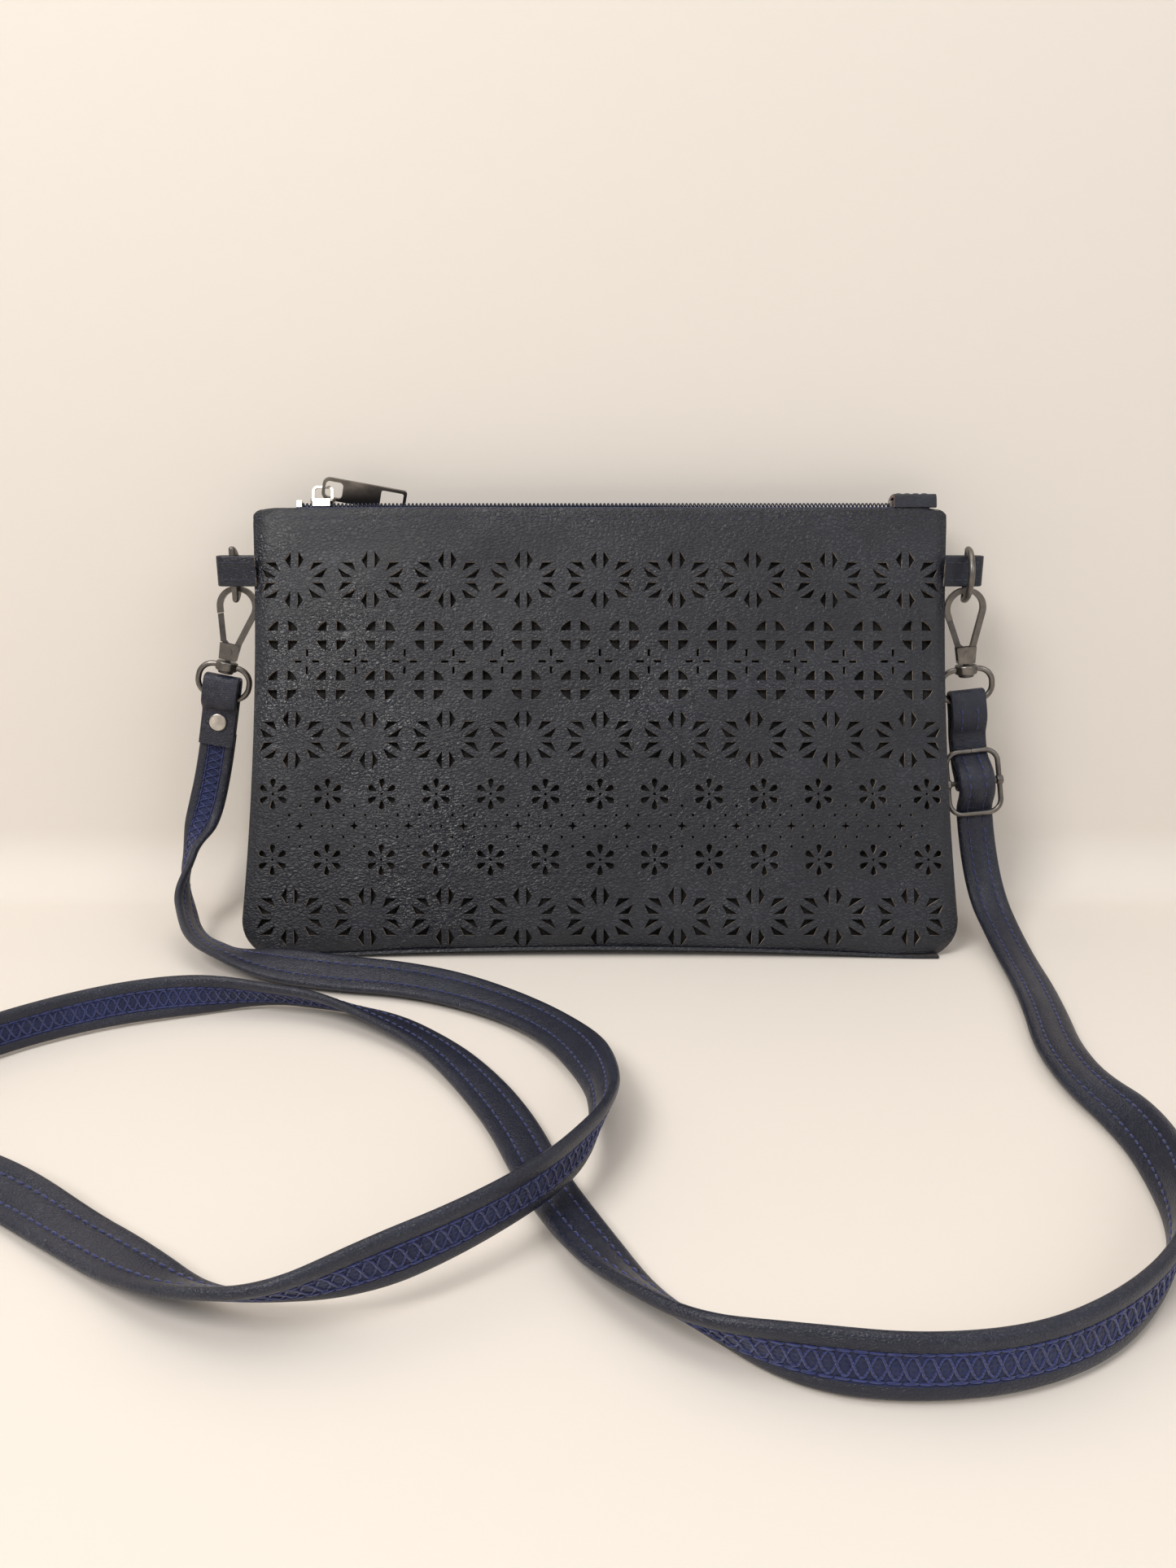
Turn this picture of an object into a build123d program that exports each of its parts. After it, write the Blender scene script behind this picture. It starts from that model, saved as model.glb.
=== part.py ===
"""Crossbody purse with a laser-cut front, a top zip and a clip-on shoulder strap.

Frame: +X to the purse's right as it faces the viewer, +Y towards its back, +Z up, millimetres.
The purse stands on its bottom edge and leans back by lean_deg. The origin is the middle of the
footprint of the purse itself. Panels are drawn upright in the purse's own plane, where y is the
depth behind the front face and z is the height along the slope, and are then leant back.
"""
import os
from math import asin, cos, degrees, radians, sin, tan

from build123d import *

# ---------------------------------------------------------------- purse body
lean_deg = 18.5          # slope of the front face from the vertical
setback = 34.5           # from the front bottom edge back to the origin
panel_height = 171.0     # up the slope
top_half = 132.5         # half widths of the outline
waist_half = 130.8
foot_half = 134.0
waist_height = 95.0
corner_radius = 15.0     # bottom corners
top_radius = 5.0         # top corners
bottom_arch = 3.9        # rise of the bottom edge between its corners
leather = 1.2            # wall of the front and back panels
backing = 0.4            # dark cloth behind the cut-outs
lining = 0.3
base_depth = 22.0        # along the floor
belly_depth = 24.0       # greatest depth, square to the front
belly_height = 80.0
mouth_depth = 11.0       # at the top edge
mouth_drop = 3.0         # how much lower the back edge of the mouth is
seam_depth = 3.0         # at the side seams
plan_depth = 26.0        # depth of the plan curve at the middle
layer_gap = 0.1          # between sewn layers
hem = 3.0                # backing and lining stop this far inside the outline

# ---------------------------------------------------------------- cut-outs
flower_columns = 9
flower_pitch = 28.95
flower_rows = (143.1, 82.4, 16.2)
flower_windows = (       # one quarter of a flower: its three triangular windows
    ((1.3, 4.1), (1.3, 11.2), (3.6, 7.8)),
    ((5.4, 3.2), (11.3, 6.9), (7.0, 6.9)),
    ((6.6, 0.95), (12.6, 4.7), (10.7, 0.95)),
)
round_columns = 14
round_pitch = 18.42
round_rows = (121.9, 103.1)
round_radius = 6.0
round_arm = 3.6          # width of the cross left in each round
plus_row = 112.0
plus_reach = 3.3
plus_slot = (2.8, 1.0)
petal_columns = 13
petal_pitch = 20.45
petal_rows = (62.0, 37.4)
petal_inner = 1.9
petal_outer = 5.9
petal_half = 1.15
dot_radius = 0.55
star_row = 50.0
star_reach = 1.9
star_waist = 0.5
diamond_x = 8.2          # the ring of dots about each star
diamond_z = 7.6
diamond_mid = 4.1

# ---------------------------------------------------------------- zip
zip_start = -116.0
zip_end = 113.0
zip_centre = 5.4         # depth of the coil's middle line behind the front face
tape = 0.5
tape_rise = 1.1          # top of the tape above the panel's edge
tape_skirt = 9.0         # how far the tape runs down inside the mouth
coil_half = 2.0          # half width over both coils
coil_height = 2.0
coil_split = 1.6         # clear strip between the two coils, for the slider's post
tooth_pitch = 1.5
tooth_width = 0.9
run_gap = 0.3            # clearance of the slider from coil and tape
slider_length = 9.0
slider_x = -106.5
slider_plate = 0.9
slider_wall = 0.5
post = (2.0, 1.0)        # length and thickness
bail_opening = (6.4, 4.4)
bail_strip = 0.9
bail_width = 1.0
bail_raise = 0.3         # lowest edge of the bail's opening above the slider
stop_length = 2.0
stop_wall = 0.5
pull_length = 32.0
pull_width = 9.0
pull_thickness = 1.1
pull_rim = 1.2
pull_window = 6.5        # window that rides on the bail
pull_slot = 8.6          # window at the far end
pull_offset = 1.2        # from the middle of the lower rim to the bail
pull_roll = 130.0
pull_pitch = 6.0
pull_yaw = 15.0
end_tab_start = 112.0
end_tab_end = 128.0
end_tab_leather = 1.2
end_tab_gap = 0.6

# ---------------------------------------------------------------- side loops and rings
tab_height_on_side = 147.0   # up the slope
tab_reach = 145.0            # outer end, from the middle of the purse
tab_tall = 11.6
tab_gap = 2.9                # inside the folded loop
tab_leather = 1.2
ring_x = 139.3
ring_wire = 1.2              # radius
ring_radius = 9.4            # of the bow, to the wire's middle
ring_drop = 1.45             # the ring hangs on the loop's top edge
ring_turn_right = -95.0     # direction of the bow about the upright bar
ring_turn_left = 96.0

# ---------------------------------------------------------------- swivel hooks
hook_length = 29.0
hook_top_radius = 7.8
hook_wire = 2.0
hook_thickness = 2.2
hook_base_width = 7.4
hook_base_foot = 6.2
hook_base_height = 6.3
hook_base_thickness = 3.8
hook_slot = 2.2          # slot in the base for the gate's tail
hook_clear = 0.8         # hook over ring
slot_floor = 1.2         # left under the slot
gate_reach = 15.0        # from the gate's rivet to the notch
gate_gap = 0.2
gate_thickness = 1.1
gate_rivet = 0.9         # radius
gate_eye = 1.5           # radius of the gate's foot round the rivet
gate_rivet_head = 1.5
gate_fit = 0.05
gate_spring_wire = 0.2
stud_neck = 1.0
stud_gap = 0.7           # base to collar
stud_head = 2.9
stud_head_height = 0.9
collar_radius = 4.1
collar_height = 3.6
swivel_fit = 0.15
eye_width = 19.8         # of the wire's middle line
eye_height = 12.3
eye_wire = 1.1
eye_corner = 5.6

# ---------------------------------------------------------------- strap and its ends
strap_width = 14.0
strap_thickness = 3.0
fold_leather = 1.5
fold_gap = 3.8           # inside the folds, round the eye
left_fold_rise = 7.0     # inside top of the left fold above the eye's bar
left_flap_end = 20.0     # lower end of the front flap, below the bar
left_back_end = 15.0     # where the back layer meets the strap
rivet_drop = 10.5
rivet_radius = 3.5
rivet_dome = 0.9
rivet_shank = 1.2
hook_lean_right = (6.0, 0.0)     # how far each hook hangs outward and forward, degrees
hook_lean_left = (14.0, 4.0)
end_lean_right = (6.3, 12.0)     # the same for the strap's ends below them
end_lean_left = (11.0, 2.0)
buckle_drop = 32.0       # centre bar below the eye's bar
buckle_width = 20.0      # of the wire's middle line
buckle_tall = 24.5
buckle_corner = 5.0
buckle_wire = 1.0
buckle_head = 1.9
buckle_head_length = 2.6
weave_tail = 4.6         # the woven piece runs on past the bars
weave_ease = 1.8         # bend of the weave, short of each outer bar
wrap_gap = 0.25

exit_runs = (24.0, 27.0)         # straight below the buckle and below the left fold
strap_route = [          # corners of the strap's middle line and the side its face looks to
    ((153.5, 5.0, 3.6), (0.0, -0.5, 0.85)),
    ((149.5, -37.0, 2.6), (0.0, 0.0, 1.0)),
    ((139.0, -83.0, 3.2), (-0.15, 0.12, 0.97)),
    ((146.0, -126.0, 6.4), (-0.55, 0.42, 0.60)),
    ((133.0, -171.0, 7.9), (-0.60, 0.75, 0.15)),
    ((96.0, -204.0, 7.8), (-0.20, 0.97, -0.10)),
    ((50.0, -210.0, 7.8), (0.0, 0.98, -0.18)),
    ((10.0, -192.0, 6.6), (0.10, 0.72, 0.60)),
    ((-13.0, -149.0, 2.8), (0.08, 0.08, 1.0)),
    ((-29.0, -103.0, 2.2), (0.0, 0.0, 1.0)),
    ((-58.0, -62.0, 3.8), (0.10, 0.25, 0.95)),
    ((-102.0, -40.0, 6.8), (0.0, 0.72, 0.68)),
    ((-149.0, -45.0, 7.8), (-0.10, 0.97, -0.18)),
    ((-187.0, -69.0, 7.8), (-0.60, 0.78, 0.0)),
    ((-207.0, -100.0, 7.8), (-0.97, 0.20, 0.10)),
    ((-194.0, -132.0, 7.0), (-0.60, -0.50, 0.60)),
    ((-157.0, -141.0, 5.0), (-0.25, -0.40, 0.88)),
    ((-118.0, -167.0, 3.4), (-0.05, -0.05, 1.0)),
    ((-81.0, -193.0, 8.4), (0.0, 0.65, 0.75)),
    ((-41.0, -184.0, 15.4), (-0.15, 0.97, 0.05)),
    ((-6.0, -150.0, 15.6), (-0.75, 0.62, 0.10)),
    ((3.0, -104.0, 9.0), (-0.80, 0.20, 0.50)),
    ((-15.0, -57.0, 4.0), (-0.25, -0.10, 0.95)),
    ((-57.0, -29.0, 5.4), (0.0, -0.45, 0.88)),
    ((-104.0, -22.0, 6.2), (0.0, -0.55, 0.82)),
    ((-142.0, -9.0, 7.6), (0.40, 0.10, 0.80)),
    ((-160.0, 18.0, 10.6), (0.75, 0.35, 0.55)),
    ((-164.0, 38.0, 27.0), (0.72, 0.68, 0.10)),
]


def leant(shape):
    """Lean a piece drawn in the purse's plane and move it to the part's frame."""
    return Location((0, -setback, 0)) * shape.rotate(Axis.X, -lean_deg)


def leant_point(x, y, z):
    """The same for one point, as a vector."""
    a = radians(lean_deg)
    return Vector(x, y * cos(a) + z * sin(a) - setback, -y * sin(a) + z * cos(a))


def save(name, shape, label=None):
    """Write one node."""
    shape.label = label or name
    export_step(shape, f"parts/{name}.step")


def box_between(low, high):
    """Axis-aligned box from its two corners."""
    size = [h - l for l, h in zip(low, high)]
    middle = [(h + l) / 2 for l, h in zip(low, high)]
    return Location(tuple(middle)) * Box(*size)


# ================================================================ purse body
def outline_wire(inset=0.0):
    """Closed outline of the purse in its own plane, drawn on XZ at y = 0."""
    top = panel_height - inset
    side = top_half - inset
    waist = waist_half - inset
    foot = foot_half - inset
    radius = corner_radius - inset
    base = inset
    flat = foot - radius
    diagonal = radius * (1 - cos(radians(45)))
    points = [
        (-side, top), (-waist, waist_height), (-foot, base + radius),
        (-foot + diagonal, base + diagonal), (-flat, base), (0, base + bottom_arch),
        (flat, base), (foot - diagonal, base + diagonal), (foot, base + radius),
        (waist, waist_height), (side, top),
    ]
    at = [Vector(x, 0, z) for x, z in points]
    arcs = [ThreePointArc(*at[i:i + 3]) for i in range(0, 10, 2)]
    return Wire(arcs + [Line(at[10], at[0])])


def profile_face(inset=0.0, open_front=0.0, open_top=0.0):
    """Side profile on YZ: the front line, the floor, the bulged back and the mouth's edge."""
    slope = tan(radians(lean_deg))
    a = radians(lean_deg)
    floor_y = base_depth * cos(a) - inset
    floor_end = (floor_y, floor_y * slope + inset)
    belly = (belly_depth - inset, belly_height)
    mouth = (mouth_depth - inset, panel_height - mouth_drop)
    front = inset - open_front
    line = [
        Line((0, front, front * slope + inset), (0, *floor_end)),
        ThreePointArc((0, *floor_end), (0, *belly), (0, *mouth)),
    ]
    corners = [(0, *mouth), (0, mouth[0], mouth[1] + open_top),
               (0, front, panel_height + open_top), (0, front, front * slope + inset)]
    if open_top == 0:
        corners = [corners[0]] + corners[2:]
    line += [Line(p, q) for p, q in zip(corners, corners[1:])]
    return Face(Wire(line))


def plan_face(inset=0.0, open_front=0.0):
    """Plan curve on XY: deep in the middle, thin at the side seams."""
    side = foot_half + 1.0
    back_edge = seam_depth - inset
    front = inset - open_front
    ends = [(-side, back_edge, 0), (0, plan_depth - inset, 0), (side, back_edge, 0)]
    lines = [ThreePointArc(*ends), Line(ends[2], (side, front, 0)),
             Line((side, front, 0), (-side, front, 0)), Line((-side, front, 0), ends[0])]
    return Face(Wire(lines))


def purse_volume(inset=0.0, open_front=0.0, open_top=0.0):
    """The filled purse: where the side profile, the outline and the plan curve all overlap."""
    wide = 2 * foot_half + 10
    side_view = Location((-wide / 2, 0, 0)) * Solid.extrude(
        profile_face(inset, open_front, open_top), Vector(wide, 0, 0))
    front_view = Solid.extrude(
        Face(raised_outline(inset, open_top)), Vector(0, plan_depth + 5 + open_front, 0))
    front_view = Location((0, -open_front, 0)) * front_view
    plan_view = Solid.extrude(
        plan_face(inset, open_front), Vector(0, 0, panel_height + open_top + 10))
    return side_view & front_view & plan_view


def raised_outline(inset, open_top):
    """The outline, carried up past the top edge where the mouth has to stay open."""
    wire = outline_wire(inset)
    if open_top == 0:
        return wire
    top = panel_height - inset
    side = top_half - inset
    arcs = wire.edges().filter_by(GeomType.CIRCLE)
    up = open_top + inset
    return Wire(list(arcs) + [
        Line((-side, 0, top), (-side, 0, top + up)),
        Line((-side, 0, top + up), (side, 0, top + up)),
        Line((side, 0, top + up), (side, 0, top))])


# ================================================================ cut-outs
def polygon_wire(points):
    """Closed straight-sided wire on XZ."""
    return Wire.make_polygon([Vector(x, 0, z) for x, z in points], close=True)


def turned(point, angle, centre):
    """Turn a point of XZ about the origin, then shift it."""
    c = cos(radians(angle))
    s = sin(radians(angle))
    return (centre[0] + point[0] * c - point[1] * s, centre[1] + point[0] * s + point[1] * c)


def column_centres(count, pitch):
    """Even columns about the middle of the purse."""
    return [(i - (count - 1) / 2) * pitch for i in range(count)]


def flower_wires(centre):
    """Six split petals: a quarter's windows, mirrored across and up and down."""
    wires = []
    for across in (-1, 1):
        for up in (-1, 1):
            for window in flower_windows:
                wires.append(polygon_wire(
                    [(centre[0] + across * x, centre[1] + up * z) for x, z in window]))
    return wires


def round_wires(centre):
    """A round split into quarters by a cross."""
    arm = round_arm / 2
    start = asin(arm / round_radius)
    near = (arm, arm)
    low = (round_radius * cos(start), arm)
    mid = (round_radius * cos(radians(45)), round_radius * sin(radians(45)))
    high = (arm, round_radius * cos(start))
    wires = []
    for quarter in range(4):
        n, l, m, h = [Vector(p[0], 0, p[1]) for p in
                      (turned(q, 90 * quarter, centre) for q in (near, low, mid, high))]
        wires.append(Wire([Line(n, l), ThreePointArc(l, m, h), Line(h, n)]))
    return wires


def plus_wires(centre):
    """Four short slots that make a plus sign."""
    half_length = plus_slot[0] / 2
    half_width = plus_slot[1] / 2
    box = [(plus_reach - half_length, -half_width), (plus_reach + half_length, -half_width),
           (plus_reach + half_length, half_width), (plus_reach - half_length, half_width)]
    return [polygon_wire([turned(p, 90 * i, centre) for p in box]) for i in range(4)]


def petal_wires(centre):
    """Six drop-shaped petals about a dot."""
    shoulder = petal_outer - petal_half
    wires = [dot_wire(centre)]
    for petal in range(6):
        tip, low, end, high = [Vector(p[0], 0, p[1]) for p in (
            turned(q, 30 + 60 * petal, centre) for q in (
                (petal_inner, 0), (shoulder, -petal_half), (petal_outer, 0),
                (shoulder, petal_half)))]
        wires.append(Wire([Line(tip, low), ThreePointArc(low, end, high), Line(high, tip)]))
    return wires


def dot_wire(centre):
    """A small round hole."""
    plane = Plane(origin=(centre[0], 0, centre[1]), x_dir=(1, 0, 0), z_dir=(0, -1, 0))
    return Wire([Edge.make_circle(dot_radius, plane)])


def star_wires(centre):
    """A four-point star inside a diamond of eight dots."""
    tips = [(star_reach, 0), (star_waist, star_waist)]
    star = [turned(p, 90 * i, centre) for i in range(4) for p in tips]
    ring = [(diamond_x, 0), (-diamond_x, 0), (0, diamond_z), (0, -diamond_z)]
    ring += [(sx * diamond_mid, sz * diamond_mid) for sx in (-1, 1) for sz in (-1, 1)]
    return [polygon_wire(star)] + [dot_wire((centre[0] + x, centre[1] + z)) for x, z in ring]


def cutout_wires():
    """Every window of the front panel, row by row."""
    wires = []
    for z in flower_rows:
        for x in column_centres(flower_columns, flower_pitch):
            wires += flower_wires((x, z))
    for z in round_rows:
        for x in column_centres(round_columns, round_pitch):
            wires += round_wires((x, z))
    for x in column_centres(round_columns - 1, round_pitch):
        wires += plus_wires((x, plus_row))
    for z in petal_rows:
        for x in column_centres(petal_columns, petal_pitch):
            wires += petal_wires((x, z))
    for x in column_centres(petal_columns - 1, petal_pitch):
        wires += star_wires((x, star_row))
    return wires


def front_panel():
    """Flat leather sheet with all its windows."""
    sheet = Face(outline_wire(), cutout_wires())
    return Solid.extrude(sheet, Vector(0, leather, 0))


def sheet_behind(inset, start, thickness):
    """Plain sheet of cloth behind the front panel."""
    sheet = Solid.extrude(Face(outline_wire(inset)), Vector(0, thickness, 0))
    return Location((0, start, 0)) * sheet


def shell(outer_inset, wall, front):
    """Dished wall, open to the front and at the mouth."""
    outer = purse_volume(outer_inset)
    inner = purse_volume(outer_inset + wall, open_front=front + 20, open_top=20)
    ahead = box_between((-300, -50, -50), (300, front, 300))
    return outer - inner - ahead


lining_front = leather + backing
cavity_front = lining_front + lining
tape_front = cavity_front + layer_gap
tape_top = panel_height + tape_rise
tape_back = mouth_depth - leather - lining - 3 * layer_gap


def build_body():
    """Panels, backing and linings."""
    above_floor = box_between((-300, -300, 0), (300, 300, 300))
    save("front_panel", leant(front_panel()) & above_floor)
    save("front_backing", leant(sheet_behind(hem, leather, backing)))
    save("front_lining", leant(sheet_behind(hem + 1, lining_front, lining)))
    back = shell(0.0, leather, leather + layer_gap)
    save("back_panel", leant(back))
    inner = shell(leather + layer_gap, lining, cavity_front + layer_gap)
    save("back_lining", leant(inner))


# ================================================================ zip
def tape_solid(front_side):
    """One tape: a skirt inside the mouth and a strip that carries the coil."""
    sign = 1 if front_side else -1
    edge = tape_front if front_side else tape_back
    inner = zip_centre - sign * coil_split / 2
    profile = [(edge, tape_top), (edge, tape_top - tape_skirt),
               (edge + sign * tape, tape_top - tape_skirt), (edge + sign * tape, tape_top - tape),
               (inner, tape_top - tape), (inner, tape_top)]
    wire = Wire.make_polygon([Vector(zip_start, y, z) for y, z in profile], close=True)
    solid = Solid.extrude(Face(wire), Vector(zip_end - zip_start, 0, 0))
    if front_side:
        return solid
    room = Solid.extrude(plan_face(leather + lining + 3 * layer_gap, 5),
                         Vector(0, 0, panel_height + 20))
    return solid & room


def coil_solid(front_side):
    """Comb of teeth along one tape."""
    sign = 1 if front_side else -1
    back = zip_centre - sign * coil_half
    tip = zip_centre - sign * coil_split / 2
    root = back + sign * tooth_width / 2
    count = int((zip_end - zip_start) / tooth_pitch)
    shift = 0 if front_side else tooth_pitch / 2 - tooth_width / 2
    points = [(zip_start, back), (zip_start, root)]
    for i in range(count):
        x = zip_start + 0.2 + shift + i * tooth_pitch
        points += [(x, root), (x, tip), (x + tooth_width, tip), (x + tooth_width, root)]
    points += [(zip_end, root), (zip_end, back)]
    wire = Wire.make_polygon([Vector(x, y, tape_top) for x, y in points], close=True)
    return Solid.extrude(Face(wire), Vector(0, 0, coil_height))


coil_top = tape_top + coil_height
slider_low = tape_top - tape - run_gap - slider_plate
slider_deck = coil_top + run_gap
slider_top = slider_deck + slider_plate
slider_half = coil_half + run_gap + slider_wall
bail_middle = slider_top + bail_raise + bail_opening[1] / 2


def slider_solid():
    """Two plates, their flanges, the wedge post and the bail."""
    x0 = slider_x - slider_length / 2
    x1 = slider_x + slider_length / 2
    top = box_between((x0, zip_centre - slider_half, slider_deck),
                      (x1, zip_centre + slider_half, slider_top))
    top = fillet(top.edges().filter_by(Axis.Z), 1.2)
    under = slider_half - slider_wall - run_gap / 2
    bottom = box_between((x0, zip_centre - under, slider_low),
                         (x1, zip_centre + under, slider_low + slider_plate))
    body = top + bottom
    for side in (-1, 1):
        y = sorted((zip_centre + side * slider_half,
                    zip_centre + side * (slider_half - slider_wall)))
        body += box_between((x0 + 1.2, y[0], tape_top + run_gap), (x1 - 1.2, y[1], slider_deck))
    body += box_between((x0 + 0.4, zip_centre - post[1] / 2, slider_low + slider_plate),
                        (x0 + 0.4 + post[0], zip_centre + post[1] / 2, slider_deck))
    return body + bail_solid()


def bail_solid():
    """Arched strip on the slider that the pull rides on."""
    foot = slider_deck + slider_plate / 2
    reach = bail_opening[0] / 2 + bail_strip
    crest = bail_middle + bail_opening[1] / 2 + bail_strip
    outer = box_between((slider_x - reach, zip_centre - bail_width / 2, foot),
                        (slider_x + reach, zip_centre + bail_width / 2, crest))
    outer = fillet(outer.edges().filter_by(Axis.Y).group_by(Axis.Z)[-1], 2.0)
    hole = Location((slider_x, zip_centre, bail_middle)) * Box(
        bail_opening[0], bail_width * 3, bail_opening[1])
    hole = fillet(hole.edges().filter_by(Axis.Y), 1.1)
    return outer - hole


def pull_solid():
    """Stamped plate: a window over the bail, a solid middle and a slot at the far end."""
    plate = Box(pull_length, pull_width, pull_thickness)
    plate = Location((pull_length / 2 - pull_rim / 2, 0, 0)) * plate
    near = plate.edges().filter_by(Axis.Z).group_by(Axis.X)[0]
    plate = fillet(near, 2.8)
    far = plate.edges().filter_by(Axis.Z).group_by(Axis.X)[-1]
    plate = fillet(far, 1.2)
    inside = pull_width - 2 * pull_rim
    start = pull_rim / 2
    first = Location((start + pull_window / 2, 0, 0)) * Box(pull_window, inside, 3)
    first = fillet(first.edges().filter_by(Axis.Z), 1.5)
    last_end = pull_length - pull_rim * 1.5
    second = Location((last_end - pull_slot / 2, 0, 0)) * Box(pull_slot, inside, 3)
    second = fillet(second.edges().filter_by(Axis.Z), 0.8)
    plate = plate - first - second
    plate = Location((0, pull_width / 2 - pull_rim / 2 - pull_offset, 0)) * plate
    plate = plate.rotate(Axis.X, pull_roll).rotate(Axis.Y, pull_pitch).rotate(Axis.Z, pull_yaw)
    return Location((slider_x, zip_centre, bail_middle)) * plate


def stop_solids():
    """Crimped stops over both ends of the coil."""
    solids = []
    for end in (zip_start, zip_end - stop_length):
        outer = box_between((end, zip_centre - coil_half - stop_wall, tape_top),
                            (end + stop_length, zip_centre + coil_half + stop_wall,
                             coil_top + stop_wall))
        hollow = box_between((end - 1, zip_centre - coil_half, tape_top - 1),
                             (end + stop_length + 1, zip_centre + coil_half, coil_top))
        solids.append(outer - hollow)
    return Compound(children=solids)


def end_tab_solid():
    """Leather tab folded over the closed end of the zip."""
    low = coil_top + stop_wall + end_tab_gap
    high = low + end_tab_leather
    front_edge = -0.2
    back_edge = zip_centre * 2 - front_edge - 1.0
    tab = box_between((end_tab_start, front_edge, low), (end_tab_end, back_edge, high))
    foot = panel_height + layer_gap
    front_leg = box_between((end_tab_start, front_edge, foot),
                            (end_tab_end, front_edge + end_tab_leather, low))
    back_leg = box_between((end_tab_start, back_edge - end_tab_leather, foot),
                           (end_tab_end, back_edge, low))
    body = tab + front_leg + back_leg
    ridge = body.edges().filter_by(Axis.X).group_by(Axis.Z)[-1]
    return fillet(ridge, 1.0)


def build_zip():
    """Tapes, coils, slider, pull, stops and the end tab."""
    save("zipper_tape_front", leant(tape_solid(True)))
    save("zipper_tape_back", leant(tape_solid(False)))
    save("zipper_coil_front", leant(coil_solid(True)))
    save("zipper_coil_back", leant(coil_solid(False)))
    save("zip_slider", leant(slider_solid()))
    save("zip_pull", leant(pull_solid()))
    save("zip_stops", leant(stop_solids()))
    save("zip_end_tab", leant(end_tab_solid()))


# ================================================================ side loops and rings
tab_seat = leant_point(0, seam_depth / 2, tab_height_on_side)


def tab_solid(side):
    """Folded leather loop that hangs plumb from the side seam."""
    half = tab_gap / 2 + tab_leather
    start = top_half - 6.0
    length = tab_reach - start
    outer = SlotOverall(length + 8, 2 * half)
    inner = SlotOverall(length + 8 - 2 * tab_leather, tab_gap)
    loop = extrude(outer - inner, tab_tall / 2, both=True)
    loop = Location((side * (start - 8 + (length + 8) / 2), tab_seat.Y, tab_seat.Z)) * loop
    keep = box_between((top_half - 4, -200, 0), (tab_reach + 5, 300, 300))
    if side < 0:
        keep = mirror(keep, Plane.YZ)
    purse = leant(purse_volume())
    return (loop & keep) - purse


def ring_solid(side, turn):
    """D-ring: upright bar in the loop, half-round bow, rounded corners."""
    bow_plane = Plane(origin=(0, 0, 0), x_dir=(1, 0, 0), z_dir=(0, -1, 0))
    arc = Edge.make_circle(ring_radius, bow_plane, start_angle=-90, end_angle=90)
    start = arc @ 0
    section = Plane(origin=start, z_dir=arc % 0) * Circle(ring_wire)
    bow = sweep(section, path=arc)
    bar = Cylinder(ring_wire, 2 * ring_radius)
    ring = bow + bar
    for end in (-1, 1):
        ring += Location((0, 0, end * ring_radius)) * Sphere(ring_wire)
    ring = ring.rotate(Axis.Z, turn)
    return Location((side * ring_x, tab_seat.Y, tab_seat.Z - ring_drop)) * ring


def build_sides():
    """Loops and rings on both sides."""
    save("side_tab_left", tab_solid(-1))
    save("side_tab_right", tab_solid(1))
    save("d_ring_left", ring_solid(-1, ring_turn_left))
    save("d_ring_right", ring_solid(1, ring_turn_right))


# ================================================================ swivel hooks
hang_angle = 18.0        # where round the bow the hook hangs, from its lowest point


def ring_hang_point(side, turn):
    """Middle of the ring's wire where the hook sits, clear of the leather loop."""
    out = ring_radius * sin(radians(hang_angle))
    down = ring_radius * cos(radians(hang_angle))
    return Vector(side * ring_x + out * cos(radians(turn)),
                  tab_seat.Y + out * sin(radians(turn)),
                  tab_seat.Z - ring_drop - down)


def hanging_plane(origin, lean, outward):
    """Frame along something that hangs: z up it, y to its back, leant outward and forward."""
    up = Vector(-outward * tan(radians(lean[0])), tan(radians(lean[1])), 1).normalized()
    across = Vector(0, 1, 0).cross(up).normalized()
    return Plane(origin=origin, x_dir=across, z_dir=up)


def hook_plane(side, turn, lean):
    """Frame of a hook: origin at the middle of its top bow, z up its shank."""
    seat = ring_hang_point(side, turn)
    slope = tan(radians(hang_angle)) * hook_thickness / 2
    lift = ring_wire / cos(radians(hang_angle)) + slope + hook_clear + hook_wire
    return hanging_plane(seat + Vector(0, 0, lift - hook_top_radius), lean, side)


base_top = -(hook_length - hook_top_radius) + hook_base_height
base_foot = -(hook_length - hook_top_radius)
rivet_level = base_foot + 0.52 * hook_base_height
collar_middle = base_foot - stud_gap - collar_height / 2
eye_level = collar_middle - eye_height


def flat_drop(radius, foot_half_width, foot_level):
    """Teardrop face on XZ: the hull of a circle and a short line."""
    edges = [Edge.make_circle(radius, Plane.XZ),
             Edge.make_line((-foot_half_width, 0, foot_level), (foot_half_width, 0, foot_level))]
    flat = [e.rotate(Axis.X, 90) for e in edges]
    return make_hull(flat).rotate(Axis.X, -90)


def thick(face, thickness):
    """Extrude an XZ face evenly to both sides."""
    solid = Solid.extrude(face, Vector(0, thickness, 0))
    middle = (solid.bounding_box().min.Y + solid.bounding_box().max.Y) / 2
    return Location((0, -middle, 0)) * solid


def hook_loop(thickness):
    """The teardrop ring without its base."""
    foot = base_top - 0.3
    outer = thick(flat_drop(hook_top_radius, hook_base_width / 2, foot).face(), thickness)
    window = thick(flat_drop(hook_top_radius - hook_wire, hook_base_width / 2 - hook_wire,
                             base_top).face(), thickness * 2)
    return outer - window


def hook_base():
    """Forked block that holds the gate's tail and the stud."""
    points = [(-hook_base_width / 2, base_top), (hook_base_width / 2, base_top),
              (hook_base_foot / 2, base_foot), (-hook_base_foot / 2, base_foot)]
    block = thick(Face(polygon_wire(points)), hook_base_thickness)
    slot = box_between((-hook_base_width, -hook_slot / 2, base_foot + slot_floor),
                       (hook_base_width / 2 - hook_wire, hook_slot / 2, base_top + 1))
    return block - slot - rivet_bore(gate_rivet)


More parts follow.
